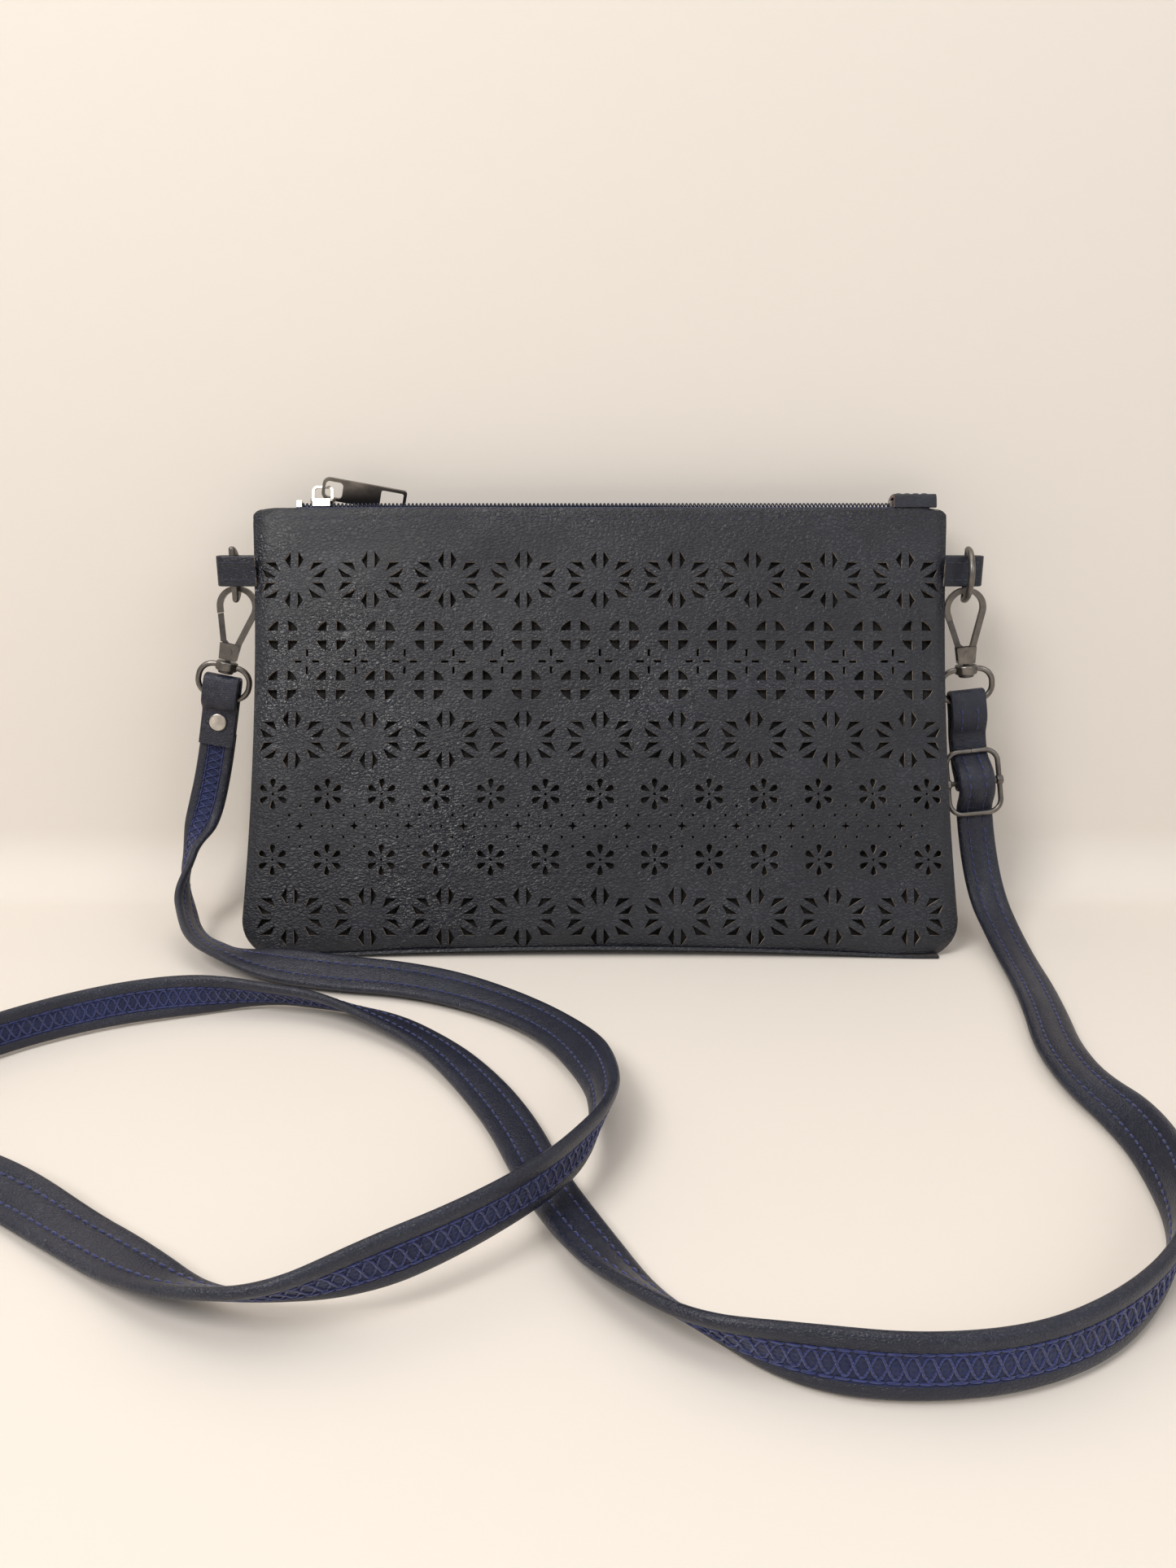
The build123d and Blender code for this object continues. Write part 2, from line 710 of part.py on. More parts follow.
def rivet_bore(radius):
    """Hole across the base for the gate's rivet."""
    return Location((0, 0, rivet_level)) * Cylinder(radius, 20).rotate(Axis.X, 90)


def gate_zone(grow=0.0):
    """Region of the left leg that the gate sweeps: round about the rivet, up to the notch."""
    disc = Cylinder(gate_reach + grow, 10).rotate(Axis.X, 90)
    left = box_between((-hook_top_radius - 2, -5, base_top - 2), (-0.5, 5, hook_top_radius))
    return (Location((0, 0, rivet_level)) * disc) & left


def hook_frame_solid():
    """Bow, fixed leg and base in one piece."""
    loop = hook_loop(hook_thickness) - gate_zone(gate_gap)
    foot = box_between((-5, -5, base_top - 1), (hook_base_width / 2 - hook_wire, 5, base_top))
    return (loop - foot) + hook_base()


def gate_solid():
    """Sprung gate: the opening leg and a flat foot with a hole for the rivet."""
    leg = hook_loop(gate_thickness) & gate_zone()
    leg = leg & box_between((-20, -5, base_top + gate_gap), (20, 5, 0))
    shank = base_top + 1.0
    points = [(-hook_base_width / 2 + 0.3, shank), (-hook_base_width / 2 + hook_wire, shank),
              (gate_eye * 0.6, rivet_level + gate_eye * 0.8),
              (-gate_eye * 0.8, rivet_level - gate_eye * 0.6)]
    foot = thick(Face(polygon_wire(points)), gate_thickness)
    eye = Location((0, 0, rivet_level)) * Cylinder(gate_eye, gate_thickness).rotate(Axis.X, 90)
    return leg + foot + eye - rivet_bore(gate_rivet + gate_fit)


def gate_rivet_solid():
    """Rivet through the fork, with a round head on each side."""
    shank = Cylinder(gate_rivet, hook_base_thickness)
    pin = shank
    for end in (-1, 1):
        pin += Location((0, 0, end * (hook_base_thickness / 2 + 0.15))) * Cylinder(
            gate_rivet_head, 0.3)
    return Location((0, 0, rivet_level)) * pin.rotate(Axis.X, 90)


def gate_spring_solid():
    """Flat spring washer beside the gate's tail, round the rivet."""
    ring = Torus(gate_rivet + gate_spring_wire + 0.1, gate_spring_wire).rotate(Axis.X, 90)
    side = -(gate_thickness / 2 + gate_spring_wire) - 0.02
    return Location((0, side, rivet_level)) * ring


def stud_solid():
    """Riveted stud that carries the swivel's collar."""
    low = collar_middle - collar_height / 2 - stud_head_height - 0.2
    neck = Location((0, 0, (low + base_foot) / 2)) * Cylinder(stud_neck, base_foot - low)
    head = Location((0, 0, low + stud_head_height / 2)) * Cylinder(stud_head, stud_head_height)
    head = fillet(head.edges().group_by(Axis.Z)[0], 0.5)
    return neck + head


def eye_solid():
    """Collar and rounded wire eye in one casting."""
    half_w = eye_width / 2
    half_h = eye_height / 2
    middle = collar_middle - half_h
    path = Wire(RectangleRounded(eye_width, eye_height, eye_corner).edges())
    path = path.rotate(Axis.X, 90).translate(Vector(0, 0, middle))
    start = path @ 0
    ring = sweep(Plane(origin=start, z_dir=path % 0) * Circle(eye_wire), path=path)
    collar = Location((0, 0, collar_middle)) * Cylinder(collar_radius, collar_height)
    collar = fillet(collar.edges(), 0.6)
    bore = Location((0, 0, collar_middle)) * Cylinder(stud_neck + swivel_fit, collar_height * 2)
    return ring + collar - bore


def build_hook(side, name, turn, lean):
    """All pieces of one swivel hook, hung on its ring."""
    frame = hook_plane(side, turn, lean)
    place = frame.location
    for piece, solid in (
            ("hook_frame", hook_frame_solid()), ("hook_gate", gate_solid()),
            ("gate_rivet", gate_rivet_solid()), ("gate_spring", gate_spring_solid()),
            ("swivel_stud", stud_solid()), ("swivel_eye", eye_solid())):
        save(f"{piece}_{name}", place * solid)
    return frame


# ================================================================ strap ends
def strip(points, radii, thickness):
    """Side view of a folded strap: a line on YZ with rounded corners, thickened, full width."""
    path = FilletPolyline(*points, radius=radii)
    face = trace(path, thickness)
    half = strap_width / 2
    solid = extrude(face, half, both=True)
    return solid.rotate(Axis.Y, 0)


def side_view(solid):
    """Turn a strip drawn on XY so that its x becomes depth and its y becomes height."""
    return Plane(origin=(0, 0, 0), x_dir=(0, 1, 0), z_dir=(1, 0, 0)).location * solid


fold_half = fold_gap / 2 + fold_leather / 2


def left_fold():
    """Strap end folded over the eye and riveted: back layer, turn, front flap."""
    top = left_fold_rise + fold_leather / 2
    lie = fold_leather + 0.02
    back_y = 0.0
    points = [(back_y + fold_half, -left_back_end), (fold_half, top), (-fold_half, top),
              (-fold_half, -1.2), (fold_half - lie, -5.6), (fold_half - lie, -left_flap_end)]
    radii = [fold_half * 0.98, fold_half * 0.98, 1.4, 1.4]
    return side_view(strip(points, radii, fold_leather))


def left_rivet():
    """Domed rivet through the flap and the strap's end."""
    front = fold_half - 2 * fold_leather
    back = fold_half + fold_leather / 2
    lie = fold_leather + 0.02
    face = fold_half - lie - fold_leather / 2
    shank = Cylinder(rivet_shank, back - face + 0.6)
    shank = Location((0, (back + face) / 2, -rivet_drop)) * shank.rotate(Axis.X, 90)
    dome = Cylinder(rivet_radius, rivet_dome)
    dome = fillet(dome.edges().group_by(Axis.Z)[-1], rivet_dome * 0.7).rotate(Axis.X, 90)
    dome = Location((0, face - rivet_dome / 2, -rivet_drop)) * dome
    cap = Cylinder(rivet_radius * 0.8, 0.5).rotate(Axis.X, 90)
    cap = Location((0, back + 0.25, -rivet_drop)) * cap
    return shank + dome + cap


def rivet_hole(solid):
    """Clear the rivet's shank through a leather piece."""
    hole = Cylinder(rivet_shank, 40).rotate(Axis.X, 90)
    return solid - Location((0, 0, -rivet_drop)) * hole


buckle_half = buckle_tall / 2
weave_back = buckle_wire + strap_thickness / 2 + 0.15
weave_front = buckle_wire + fold_leather + wrap_gap + 0.15 + strap_thickness / 2


def buckle_points():
    """Middle line of the woven strap, from below the buckle to above it."""
    tail = buckle_half + weave_tail
    bend = buckle_half - weave_ease
    return [(weave_back, -tail), (weave_back, -bend), (-weave_front, -2.6),
            (-weave_front, 2.6), (weave_back, bend), (weave_back, tail)]


def weave_solid():
    """The strap where it passes behind, over and behind the buckle's three bars."""
    radii = [3.2, 3.2, 3.2, 3.2]
    solid = side_view(strip(buckle_points(), radii, strap_thickness))
    return Location((0, 0, -buckle_drop)) * solid


def adjuster_fold():
    """Strap over the eye: front layer, turn, back layer, and the wrap round the centre bar."""
    top = fold_half + 0.3
    lower_front = -(buckle_drop - buckle_half - weave_tail)
    wrap = buckle_wire + wrap_gap + fold_leather / 2
    bar = -buckle_drop
    front_y = weave_back - (strap_thickness - fold_leather) / 2
    back_y = weave_back + strap_thickness / 2 + fold_leather / 2 + 0.25
    points = [(front_y, lower_front), (front_y, lower_front + 2.0), (-fold_half, lower_front + 8.0),
              (-fold_half, top), (fold_half, top), (fold_half, lower_front + 9.0),
              (back_y, lower_front + 3.0), (back_y, bar + buckle_half - 3.0),
              (wrap, bar + 3.5), (wrap, bar - wrap), (-wrap, bar - wrap), (-wrap, bar + wrap - 0.2)]
    radii = [1.5, 1.5, fold_half * 0.98, fold_half * 0.98, 1.5, 1.5, 1.5, 1.5,
             wrap * 0.95, wrap * 0.95]
    return side_view(strip(points, radii, fold_leather))


def buckle_frame_solid():
    """Rounded wire rectangle of the adjuster."""
    path = Wire(RectangleRounded(buckle_width, buckle_tall, buckle_corner).edges())
    path = path.rotate(Axis.X, 90)
    start = path @ 0
    ring = sweep(Plane(origin=start, z_dir=path % 0) * Circle(buckle_wire), path=path)
    seam = box_between((-0.1, -2, buckle_half - 2), (0.1, 2, buckle_half + 2))
    return Location((0, 0, -buckle_drop)) * (ring - seam)


def buckle_bar_solid():
    """Centre bar with a round head crimped over each side of the frame."""
    half = buckle_width / 2
    bar = Cylinder(buckle_wire, 2 * half).rotate(Axis.Y, 90)
    for end in (-1, 1):
        head = Cylinder(buckle_head, buckle_head_length).rotate(Axis.Y, 90)
        head = fillet(head.edges(), 0.6)
        bar += Location((end * half, 0, 0)) * head
    groove = Wire(RectangleRounded(buckle_width, buckle_tall, buckle_corner).edges())
    groove = groove.rotate(Axis.X, 90)
    ring = sweep(Plane(origin=groove @ 0, z_dir=groove % 0) * Circle(buckle_wire), path=groove)
    return Location((0, 0, -buckle_drop)) * (bar - ring)


# ================================================================ strap
def route_radii(points):
    """Largest arcs that the runs allow: 0.45 of the shorter run over tan of half the turn."""
    radii = []
    for before, here, after in zip(points, points[1:], points[2:]):
        a = here - before
        b = after - here
        turn = a.get_angle(b)
        radii.append(0.45 * min(a.length, b.length) / tan(radians(turn / 2)))
    return radii


def strap_solid(points, faces):
    """Flat band lofted through rectangles set across the rounded route."""
    radii = route_radii(points)
    print("strap radii", [round(r) for r in radii])
    path = Wire(FilletPolyline(*points, radius=radii).edges())
    runs = [0.0]
    for a, b in zip(points, points[1:]):
        runs.append(runs[-1] + (b - a).length)
    share = [r / runs[-1] for r in runs]
    count = 130
    sections = []
    for i in range(count + 1):
        t = i / count
        k = max(j for j in range(len(share) - 1) if share[j] <= t or j == 0)
        local = (t - share[k]) / (share[k + 1] - share[k])
        local = local * local * (3 - 2 * local)
        face = faces[k] * (1 - local) + faces[k + 1] * local
        along = path % t
        normal = (face - along * face.dot(along)).normalized()
        across = normal.cross(along).normalized()
        middle = path @ t
        w = across * (strap_width / 2)
        n = normal * (strap_thickness / 2)
        corners = [middle - w - n, middle + w - n, middle + w + n, middle - w + n]
        sections.append(Wire.make_polygon(corners, close=True))
    solid = Solid.make_loft(sections, ruled=True)
    area = strap_width * strap_thickness
    print("strap length", round(path.length, 1), "volume ratio",
          round(solid.volume / (area * path.length), 4), "valid", solid.is_valid,
          "lowest", round(solid.bounding_box().min.Z, 2))
    return solid


def build_strap(left_hook, right_hook):
    """Folds, rivet, adjuster and the long free strap."""
    right_bar = right_hook.location * Pos(0, 0, eye_level)
    right = hanging_plane(right_bar.position, end_lean_right, 1).location
    save("adjuster_fold", right * adjuster_fold())
    save("buckle_frame", right * buckle_frame_solid())
    save("buckle_bar", right * buckle_bar_solid())
    save("strap_weave", right * weave_solid())
    left_bar = left_hook.location * Pos(0, 0, eye_level)
    left = hanging_plane(left_bar.position, end_lean_left, -1).location
    save("strap_end_fold", left * rivet_hole(left_fold()))
    save("strap_rivet", left * left_rivet())
    start = -buckle_drop - buckle_half - weave_tail
    back = fold_half + (strap_thickness - fold_leather) / 2
    head = [(right * Pos(0, weave_back, start - run)).position for run in (0, exit_runs[0])]
    tail = [(left * Pos(0, back, -left_back_end - run)).position for run in (exit_runs[1], 0)]
    shift = Vector(0, -setback, 0)
    points = head + [Vector(*p) + shift for p, _ in strap_route] + tail
    faces = [Vector(0, -1, 0)] * 2 + [Vector(*f) for _, f in strap_route] + [Vector(0, 1, 0)] * 2
    save("strap", strap_solid(points, faces))
    print("strap route", [tuple(round(v, 1) for v in p) for p in points])


def main():
    """Build every node."""
    os.makedirs("parts", exist_ok=True)
    build_body()
    build_zip()
    build_sides()
    left = build_hook(-1, "left", ring_turn_left, hook_lean_left)
    right = build_hook(1, "right", ring_turn_right, hook_lean_right)
    build_strap(left, right)


main()
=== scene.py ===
"""Crossbody purse: laser-cut leather front, soft gusseted back, top zip, swivel hooks and a long strap.

Lengths are worked out in millimetres in the purse's own plane (x across, y depth, s up the slope)
or in the frame, and turned to metres when a mesh is written.
"""
from math import cos, pi, radians, sin, tan

import bmesh
import bpy
import numpy as np
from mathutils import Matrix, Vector
from mathutils.geometry import delaunay_2d_cdt


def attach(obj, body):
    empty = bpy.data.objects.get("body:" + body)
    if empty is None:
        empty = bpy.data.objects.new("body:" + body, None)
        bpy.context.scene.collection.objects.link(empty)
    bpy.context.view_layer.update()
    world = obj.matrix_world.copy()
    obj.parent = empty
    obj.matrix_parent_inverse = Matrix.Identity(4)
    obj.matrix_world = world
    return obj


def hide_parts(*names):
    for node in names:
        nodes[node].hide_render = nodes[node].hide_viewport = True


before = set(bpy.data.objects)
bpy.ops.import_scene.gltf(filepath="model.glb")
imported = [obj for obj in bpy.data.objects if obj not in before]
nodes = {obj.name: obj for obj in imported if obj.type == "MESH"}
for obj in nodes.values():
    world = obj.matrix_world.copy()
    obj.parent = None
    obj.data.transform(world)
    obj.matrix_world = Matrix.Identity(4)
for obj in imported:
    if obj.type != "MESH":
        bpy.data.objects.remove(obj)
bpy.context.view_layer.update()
MM = 0.001

# ---------------------------------------------------------------- purse sizes, millimetres
LEAN = radians(18.5)
SETBACK = 34.5
PANEL_HEIGHT = 171.0
TOP_HALF, WAIST_HALF, FOOT_HALF = 132.5, 130.8, 134.0
WAIST_HEIGHT, CORNER, ARCH, TOP_CORNER = 95.0, 15.0, 3.9, 4.0
LEATHER = 1.2
SEAM_HEIGHT = 166.7       # row of hem stitches on the front
MOUTH_DROP = 3.0          # the back edge of the mouth is this much lower
PLAN_DEPTH, SEAM_DEPTH = 26.0, 3.0
FLOOR_DEPTH, BELLY_DEPTH, MOUTH_DEPTH = 20.9, 24.0, 11.0
FLOOR_HEIGHT, BELLY_HEIGHT = 7.0, 80.0

# ---------------------------------------------------------------- zip sizes
ZIP_START, ZIP_END = -116.0, 113.0
TAPE_THICKNESS = 0.46
COIL_HEIGHT = 173.05      # middle of both coils
COIL_FRONT, COIL_BACK = 4.02, 6.78
COIL_REACH, COIL_RISE, COIL_WIRE = 0.36, 0.66, 0.3
TAB_THICKNESS = 1.2

# ---------------------------------------------------------------- strap sizes
STITCH_PITCH = 3.2
SEAM_OFFSET = 3.0         # the two seams, each side of the middle
FACE_SEAM_RISE = 1.16     # seam's height over the strap's middle line
RAIL_DROP = 1.12          # lacing rails' depth under it
FOLD_THICKNESS = 1.45


def stand(points):
    """Purse-plane points (x, y, s) to the frame: y' = y cos a + s sin a - setback, z' = s cos a - y sin a."""
    p = np.asarray(points, float)
    out = p.copy()
    out[..., 1] = p[..., 1] * cos(LEAN) + p[..., 2] * sin(LEAN) - SETBACK
    out[..., 2] = p[..., 2] * cos(LEAN) - p[..., 1] * sin(LEAN)
    return out


# ================================================================ mesh helpers
def write_mesh(name, points, faces, materials, body="root", slot=None, index=None, uv=None, sharp=35,
               close=False):
    """One piece from points in millimetres: faces are index lists, index picks each face's material."""
    mesh = bpy.data.meshes.new(name)
    mesh.from_pydata((np.asarray(points, float).reshape(-1, 3) * MM).tolist(), [], faces)
    for material in materials:
        mesh.materials.append(material)
    if index is not None:
        mesh.polygons.foreach_set("material_index", np.asarray(index, np.int32))
    if uv is not None:
        layer = mesh.uv_layers.new(name="UVMap")
        loops = np.empty(len(mesh.loops), np.int32)
        mesh.loops.foreach_get("vertex_index", loops)
        layer.uv.foreach_set("vector", np.asarray(uv, np.float32)[loops].ravel())
    if close:
        bm = bmesh.new()
        bm.from_mesh(mesh)
        bmesh.ops.recalc_face_normals(bm, faces=bm.faces)
        bm.to_mesh(mesh)
        bm.free()
    mesh.shade_smooth()
    mesh.set_sharp_from_angle(angle=radians(sharp))
    piece = bpy.data.objects.new(name, mesh)
    bpy.context.scene.collection.objects.link(piece)
    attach(piece, body)
    return piece


def grid_faces(rows, columns, around=False, start=0):
    """Quads of a rows x columns grid; around joins the last column to the first."""
    last = columns if around else columns - 1
    i, j = np.meshgrid(np.arange(rows - 1), np.arange(last), indexing="ij")
    k = (j + 1) % columns
    quads = np.stack([i * columns + j, i * columns + k, (i + 1) * columns + k, (i + 1) * columns + j], -1)
    return (quads.reshape(-1, 4) + start).tolist()


def capped_faces(rows, columns):
    """Quads of a closed tube with a cap at its first and its last row."""
    first = list(range(columns))[::-1]
    last = list(range((rows - 1) * columns, rows * columns))
    return grid_faces(rows, columns, around=True) + [first, last]


def unit(v):
    """v / |v| along the last axis."""
    return v / np.maximum(np.linalg.norm(v, axis=-1, keepdims=True), 1e-9)


def arc_length(path):
    """Running length s_i = sum |p_k+1 - p_k|."""
    return np.concatenate([[0.0], np.cumsum(np.linalg.norm(np.diff(path, axis=0), axis=1))])


def along(path, distances, values=None):
    """Values (or the points) of a path at given distances along it, by straight interpolation."""
    length = arc_length(path)
    values = path if values is None else values
    return np.stack([np.interp(distances, length, values[:, k]) for k in range(values.shape[1])], -1)


def bent_line(corners, count):
    """Quadratic B-spline over the corners: p = ((1-t)^2 a + 2t(1-t) b + t^2 c), a and c at mid runs."""
    c = np.asarray(corners, float)
    mid = (c[:-1] + c[1:]) / 2
    a = np.vstack([c[:1], mid[1:-1]])[:, None]
    b = c[1:-1][:, None]
    d = np.vstack([mid[1:-1], c[-1:]])[:, None]
    t = np.linspace(0, 1, 12)[None, :, None]
    fine = ((1 - t) ** 2 * a + 2 * t * (1 - t) * b + t ** 2 * d).reshape(-1, c.shape[1])
    keep = np.concatenate([[True], np.linalg.norm(np.diff(fine, axis=0), axis=1) > 1e-6])
    fine = fine[keep]
    length = arc_length(fine)
    return along(fine, np.linspace(0, length[-1], count))


def band_rows(path, normals, profile):
    """Profile (across, out) carried along a path: P = c + across * (n x t) + out * n."""
    t = unit(np.gradient(path, axis=0))
    n = unit(normals - t * np.sum(normals * t, -1, keepdims=True))
    a = np.cross(n, t)
    return path[:, None] + a[:, None] * profile[None, :, :1] + n[:, None] * profile[None, :, 1:]


def band(name, path, normals, profile, materials, underside=None, **settings):
    """Closed strip of leather along a path, with an end cap at each end; underside marks a second finish."""
    rows = band_rows(path, normals, profile)
    m, n = rows.shape[:2]
    faces = capped_faces(m, n)
    index = np.zeros(len(faces), np.int32)
    if underside is not None:
        index[:(m - 1) * n] = np.tile(underside, m - 1)
    index[-2:] = len(materials) - 1
    around = arc_length(np.vstack([profile, profile[:1]]))[:n]
    uv = np.stack(np.meshgrid(arc_length(path), around, indexing="ij"), -1).reshape(-1, 2) * MM
    return write_mesh(name, rows, faces, materials, index=index, uv=uv, close=True, **settings)


def strip_profile(width, thickness, round_edge=0.5, count=5):
    """Flat strip with round edges: corners of radius r = round_edge * thickness, counter-clockwise."""
    r = round_edge * thickness
    w, h = width / 2 - r, thickness / 2 - r
    q = np.linspace(0, pi / 2, count)
    corner = [np.stack([sx + r * np.cos(q + k * pi / 2), sy + r * np.sin(q + k * pi / 2)], -1)
              for k, (sx, sy) in enumerate(((w, h), (-w, h), (-w, -h), (w, -h)))]
    flats = [np.array([[w * f, h + r] for f in (0.6, 0.3, 0, -0.3, -0.6)]),
             np.array([[-w * f, -h - r] for f in (0.6, 0.3, 0, -0.3, -0.6)])]
    return np.vstack([corner[0], flats[0], corner[1], corner[2], flats[1], corner[3]])


def stitches(name, centres, ahead, up, length, radius, material, lift=0.25, body="root", sides=6):
    """Thread stitches: capsules c + d t + r_k(cos q s + sin q u) + lift (1 - 4 t^2 / L^2) u, rings at t_k."""
    d = unit(np.asarray(ahead, float))
    u = unit(np.asarray(up, float) - d * np.sum(up * d, -1, keepdims=True))
    s = np.cross(d, u)
    t = np.array([-0.5, -0.32, 0.0, 0.32, 0.5]) * length
    r = np.array([0.4, 0.9, 1.0, 0.9, 0.4]) * radius
    q = np.arange(sides) * 2 * pi / sides
    rise = lift * (1 - (2 * t / length) ** 2)
    cosine, sine = (wave(q)[None, None, :, None] for wave in (np.cos, np.sin))
    ring = s[:, None, None] * cosine + u[:, None, None] * sine
    points = (np.asarray(centres, float)[:, None, None] + d[:, None, None] * t[None, :, None, None]
              + u[:, None, None] * rise[None, :, None, None] + ring * r[None, :, None, None])
    n, k = len(points), len(t)
    one = np.array(grid_faces(k, sides, around=True))
    quads = (one[None] + np.arange(n)[:, None, None] * k * sides).reshape(-1, 4).tolist()
    first = (np.arange(sides)[::-1][None] + np.arange(n)[:, None] * k * sides).tolist()
    last = ((k - 1) * sides + np.arange(sides)[None] + np.arange(n)[:, None] * k * sides).tolist()
    return write_mesh(name, points, quads + first + last, [material], body=body, sharp=80, close=True)


def tube(name, path, radius, material, body="root", sides=7, up=(0, 0, 1), slot=None):
    """Round wire or thread: P = c + r (cos q a + sin q b), a and b square to the path, closed ends."""
    t = unit(np.gradient(path, axis=0))
    a = unit(np.cross(t, np.broadcast_to(np.asarray(up, float), t.shape)))
    b = np.cross(a, t)
    q = np.arange(sides) * 2 * pi / sides
    cosine, sine = (wave(q)[None, :, None] for wave in (np.cos, np.sin))
    rows = path[:, None] + radius * (a[:, None] * cosine + b[:, None] * sine)
    m = len(path)
    faces = capped_faces(m, sides)
    return write_mesh(name, rows, faces, [material], body=body, sharp=80, close=True, slot=slot)


# ================================================================ finishes
class Finish:
    """A material whose nodes are added by kind, with inputs given as values or as sockets to link."""

    def __init__(self, name, colour, roughness, metallic=0.0):
        self.material = bpy.data.materials.new(name)
        self.material.use_nodes = True
        self.tree = self.material.node_tree
        self.shader = self.tree.nodes["Principled BSDF"]
        self.shader.inputs["Base Color"].default_value = (*colour, 1)
        self.shader.inputs["Roughness"].default_value = roughness
        self.shader.inputs["Metallic"].default_value = metallic
        self.place = self.node("ShaderNodeTexCoord").outputs["Object"]

    def node(self, kind, settings=None, **inputs):
        made = self.tree.nodes.new(kind)
        for key, value in (settings or {}).items():
            setattr(made, key, value)
        for key, value in inputs.items():
            by_number = key[0] == "i" and key[1:].isdigit()
            socket = made.inputs[int(key[1:]) if by_number else key.replace("_", " ")]
            if isinstance(value, bpy.types.NodeSocket):
                self.tree.links.new(value, socket)
            else:
                socket.default_value = value
        return made

    def shifted(self, scale=(1, 1, 1), location=(0, 0, 0), rotation=(0, 0, 0), source=None):
        source = self.place if source is None else source
        return self.node("ShaderNodeMapping", Vector=source, Scale=scale, Location=location,
                         Rotation=rotation).outputs["Vector"]

    def noise(self, scale, detail=3.0, rough=0.5, vector=None, out="Fac"):
        return self.node("ShaderNodeTexNoise", Vector=vector or self.place, Scale=scale, Detail=detail,
                         Roughness=rough).outputs[out]

    def cells(self, scale, vector=None, feature="DISTANCE_TO_EDGE", out="Distance", randomness=1.0):
        return self.node("ShaderNodeTexVoronoi", {"feature": feature}, Vector=vector or self.place,
                         Scale=scale, Randomness=randomness).outputs[out]

    def wave(self, scale, vector=None, direction="X", distortion=0.0, detail=0.0):
        return self.node("ShaderNodeTexWave", {"bands_direction": direction}, Vector=vector or self.place,
                         Scale=scale, Distortion=distortion, Detail=detail).outputs["Fac"]

    def span(self, value, low, high, to_low=0.0, to_high=1.0):
        return self.node("ShaderNodeMapRange", i0=value, i1=low, i2=high, i3=to_low, i4=to_high).outputs[0]

    def maths(self, operation, a, b=0.0, c=0.0):
        return self.node("ShaderNodeMath", {"operation": operation}, i0=a, i1=b, i2=c).outputs[0]

    def blend(self, factor, a, b):
        made = self.node("ShaderNodeMix", {"data_type": "RGBA"})
        for socket, value in ((made.inputs[0], factor), (made.inputs[6], a), (made.inputs[7], b)):
            if isinstance(value, bpy.types.NodeSocket):
                self.tree.links.new(value, socket)
            else:
                socket.default_value = value if isinstance(value, float) else (*value, 1)
        return made.outputs[2]

    def swirl(self, amount, scale, vector=None):
        """Coordinates pushed about by a coloured noise: p + (noise - 0.5) * amount."""
        vector = vector or self.place
        colour = self.noise(scale, 2.0, vector=vector, out="Color")
        pushed = self.node("ShaderNodeVectorMath", {"operation": "MULTIPLY_ADD"}, i0=colour,
                           i1=(amount,) * 3, i2=vector)
        return pushed.outputs[0]

    def relief(self, height, distance, strength=1.0):
        made = self.node("ShaderNodeBump", Height=height, Distance=distance, Strength=strength)
        self.tree.links.new(made.outputs[0], self.shader.inputs["Normal"])

    def drive(self, socket, value):
        self.tree.links.new(value, self.shader.inputs[socket])

    def fixed(self, **values):
        for key, value in values.items():
            self.shader.inputs[key.replace("_", " ")].default_value = value
        return self


def leather_finish(name, colour, worn, grain=620.0, depth=0.00032, gloss=(), rough=(0.36, 0.56)):
    """Crinkled leather: two sizes of pebble between creases, long wrinkles, glossy patches, worn crests."""
    f = Finish(name, colour, 0.45)
    pushed = f.swirl(0.0022, 260.0)
    flow = f.shifted((0.75, 1.0, 1.3), rotation=(0, radians(16), 0), source=pushed)
    pebbles = f.span(f.cells(grain, flow), 0.0, 0.32)
    fine = f.span(f.cells(grain * 2.3, flow), 0.0, 0.35)
    drawn_out = f.shifted((0.5, 1, 1.7), rotation=(0, radians(-22), 0), source=pushed)
    wrinkles = f.noise(grain * 0.28, 4.0, 0.6, drawn_out)
    height = f.maths("MULTIPLY_ADD", pebbles, 0.55, f.maths("MULTIPLY", fine, 0.2))
    height = f.maths("MULTIPLY_ADD", wrinkles, 1.1, height)
    height = f.maths("MULTIPLY_ADD", f.noise(70.0, 2.0), 1.6, height)
    f.relief(height, depth)
    patch = f.noise(26.0, 3.0, 0.55)
    rub = f.span(f.maths("MULTIPLY", f.span(patch, 0.42, 0.68), pebbles), 0.1, 0.9)
    f.drive("Base Color", f.blend(rub, colour, worn))
    roughness = f.span(f.noise(46.0, 3.0), 0.35, 0.65, rough[0], rough[1])
    for place, size, amount in gloss:
        centred = f.shifted([1 / s for s in size], [-p / s for p, s in zip(place, size)])
        ball = f.node("ShaderNodeTexGradient", {"gradient_type": "SPHERICAL"}, Vector=centred).outputs["Fac"]
        roughness = f.maths("MULTIPLY_ADD", ball, -amount, roughness)
    f.drive("Roughness", f.maths("MAXIMUM", roughness, 0.16))
    return f.fixed(Specular_IOR_Level=0.5, Coat_Weight=0.12, Coat_Roughness=0.3).material


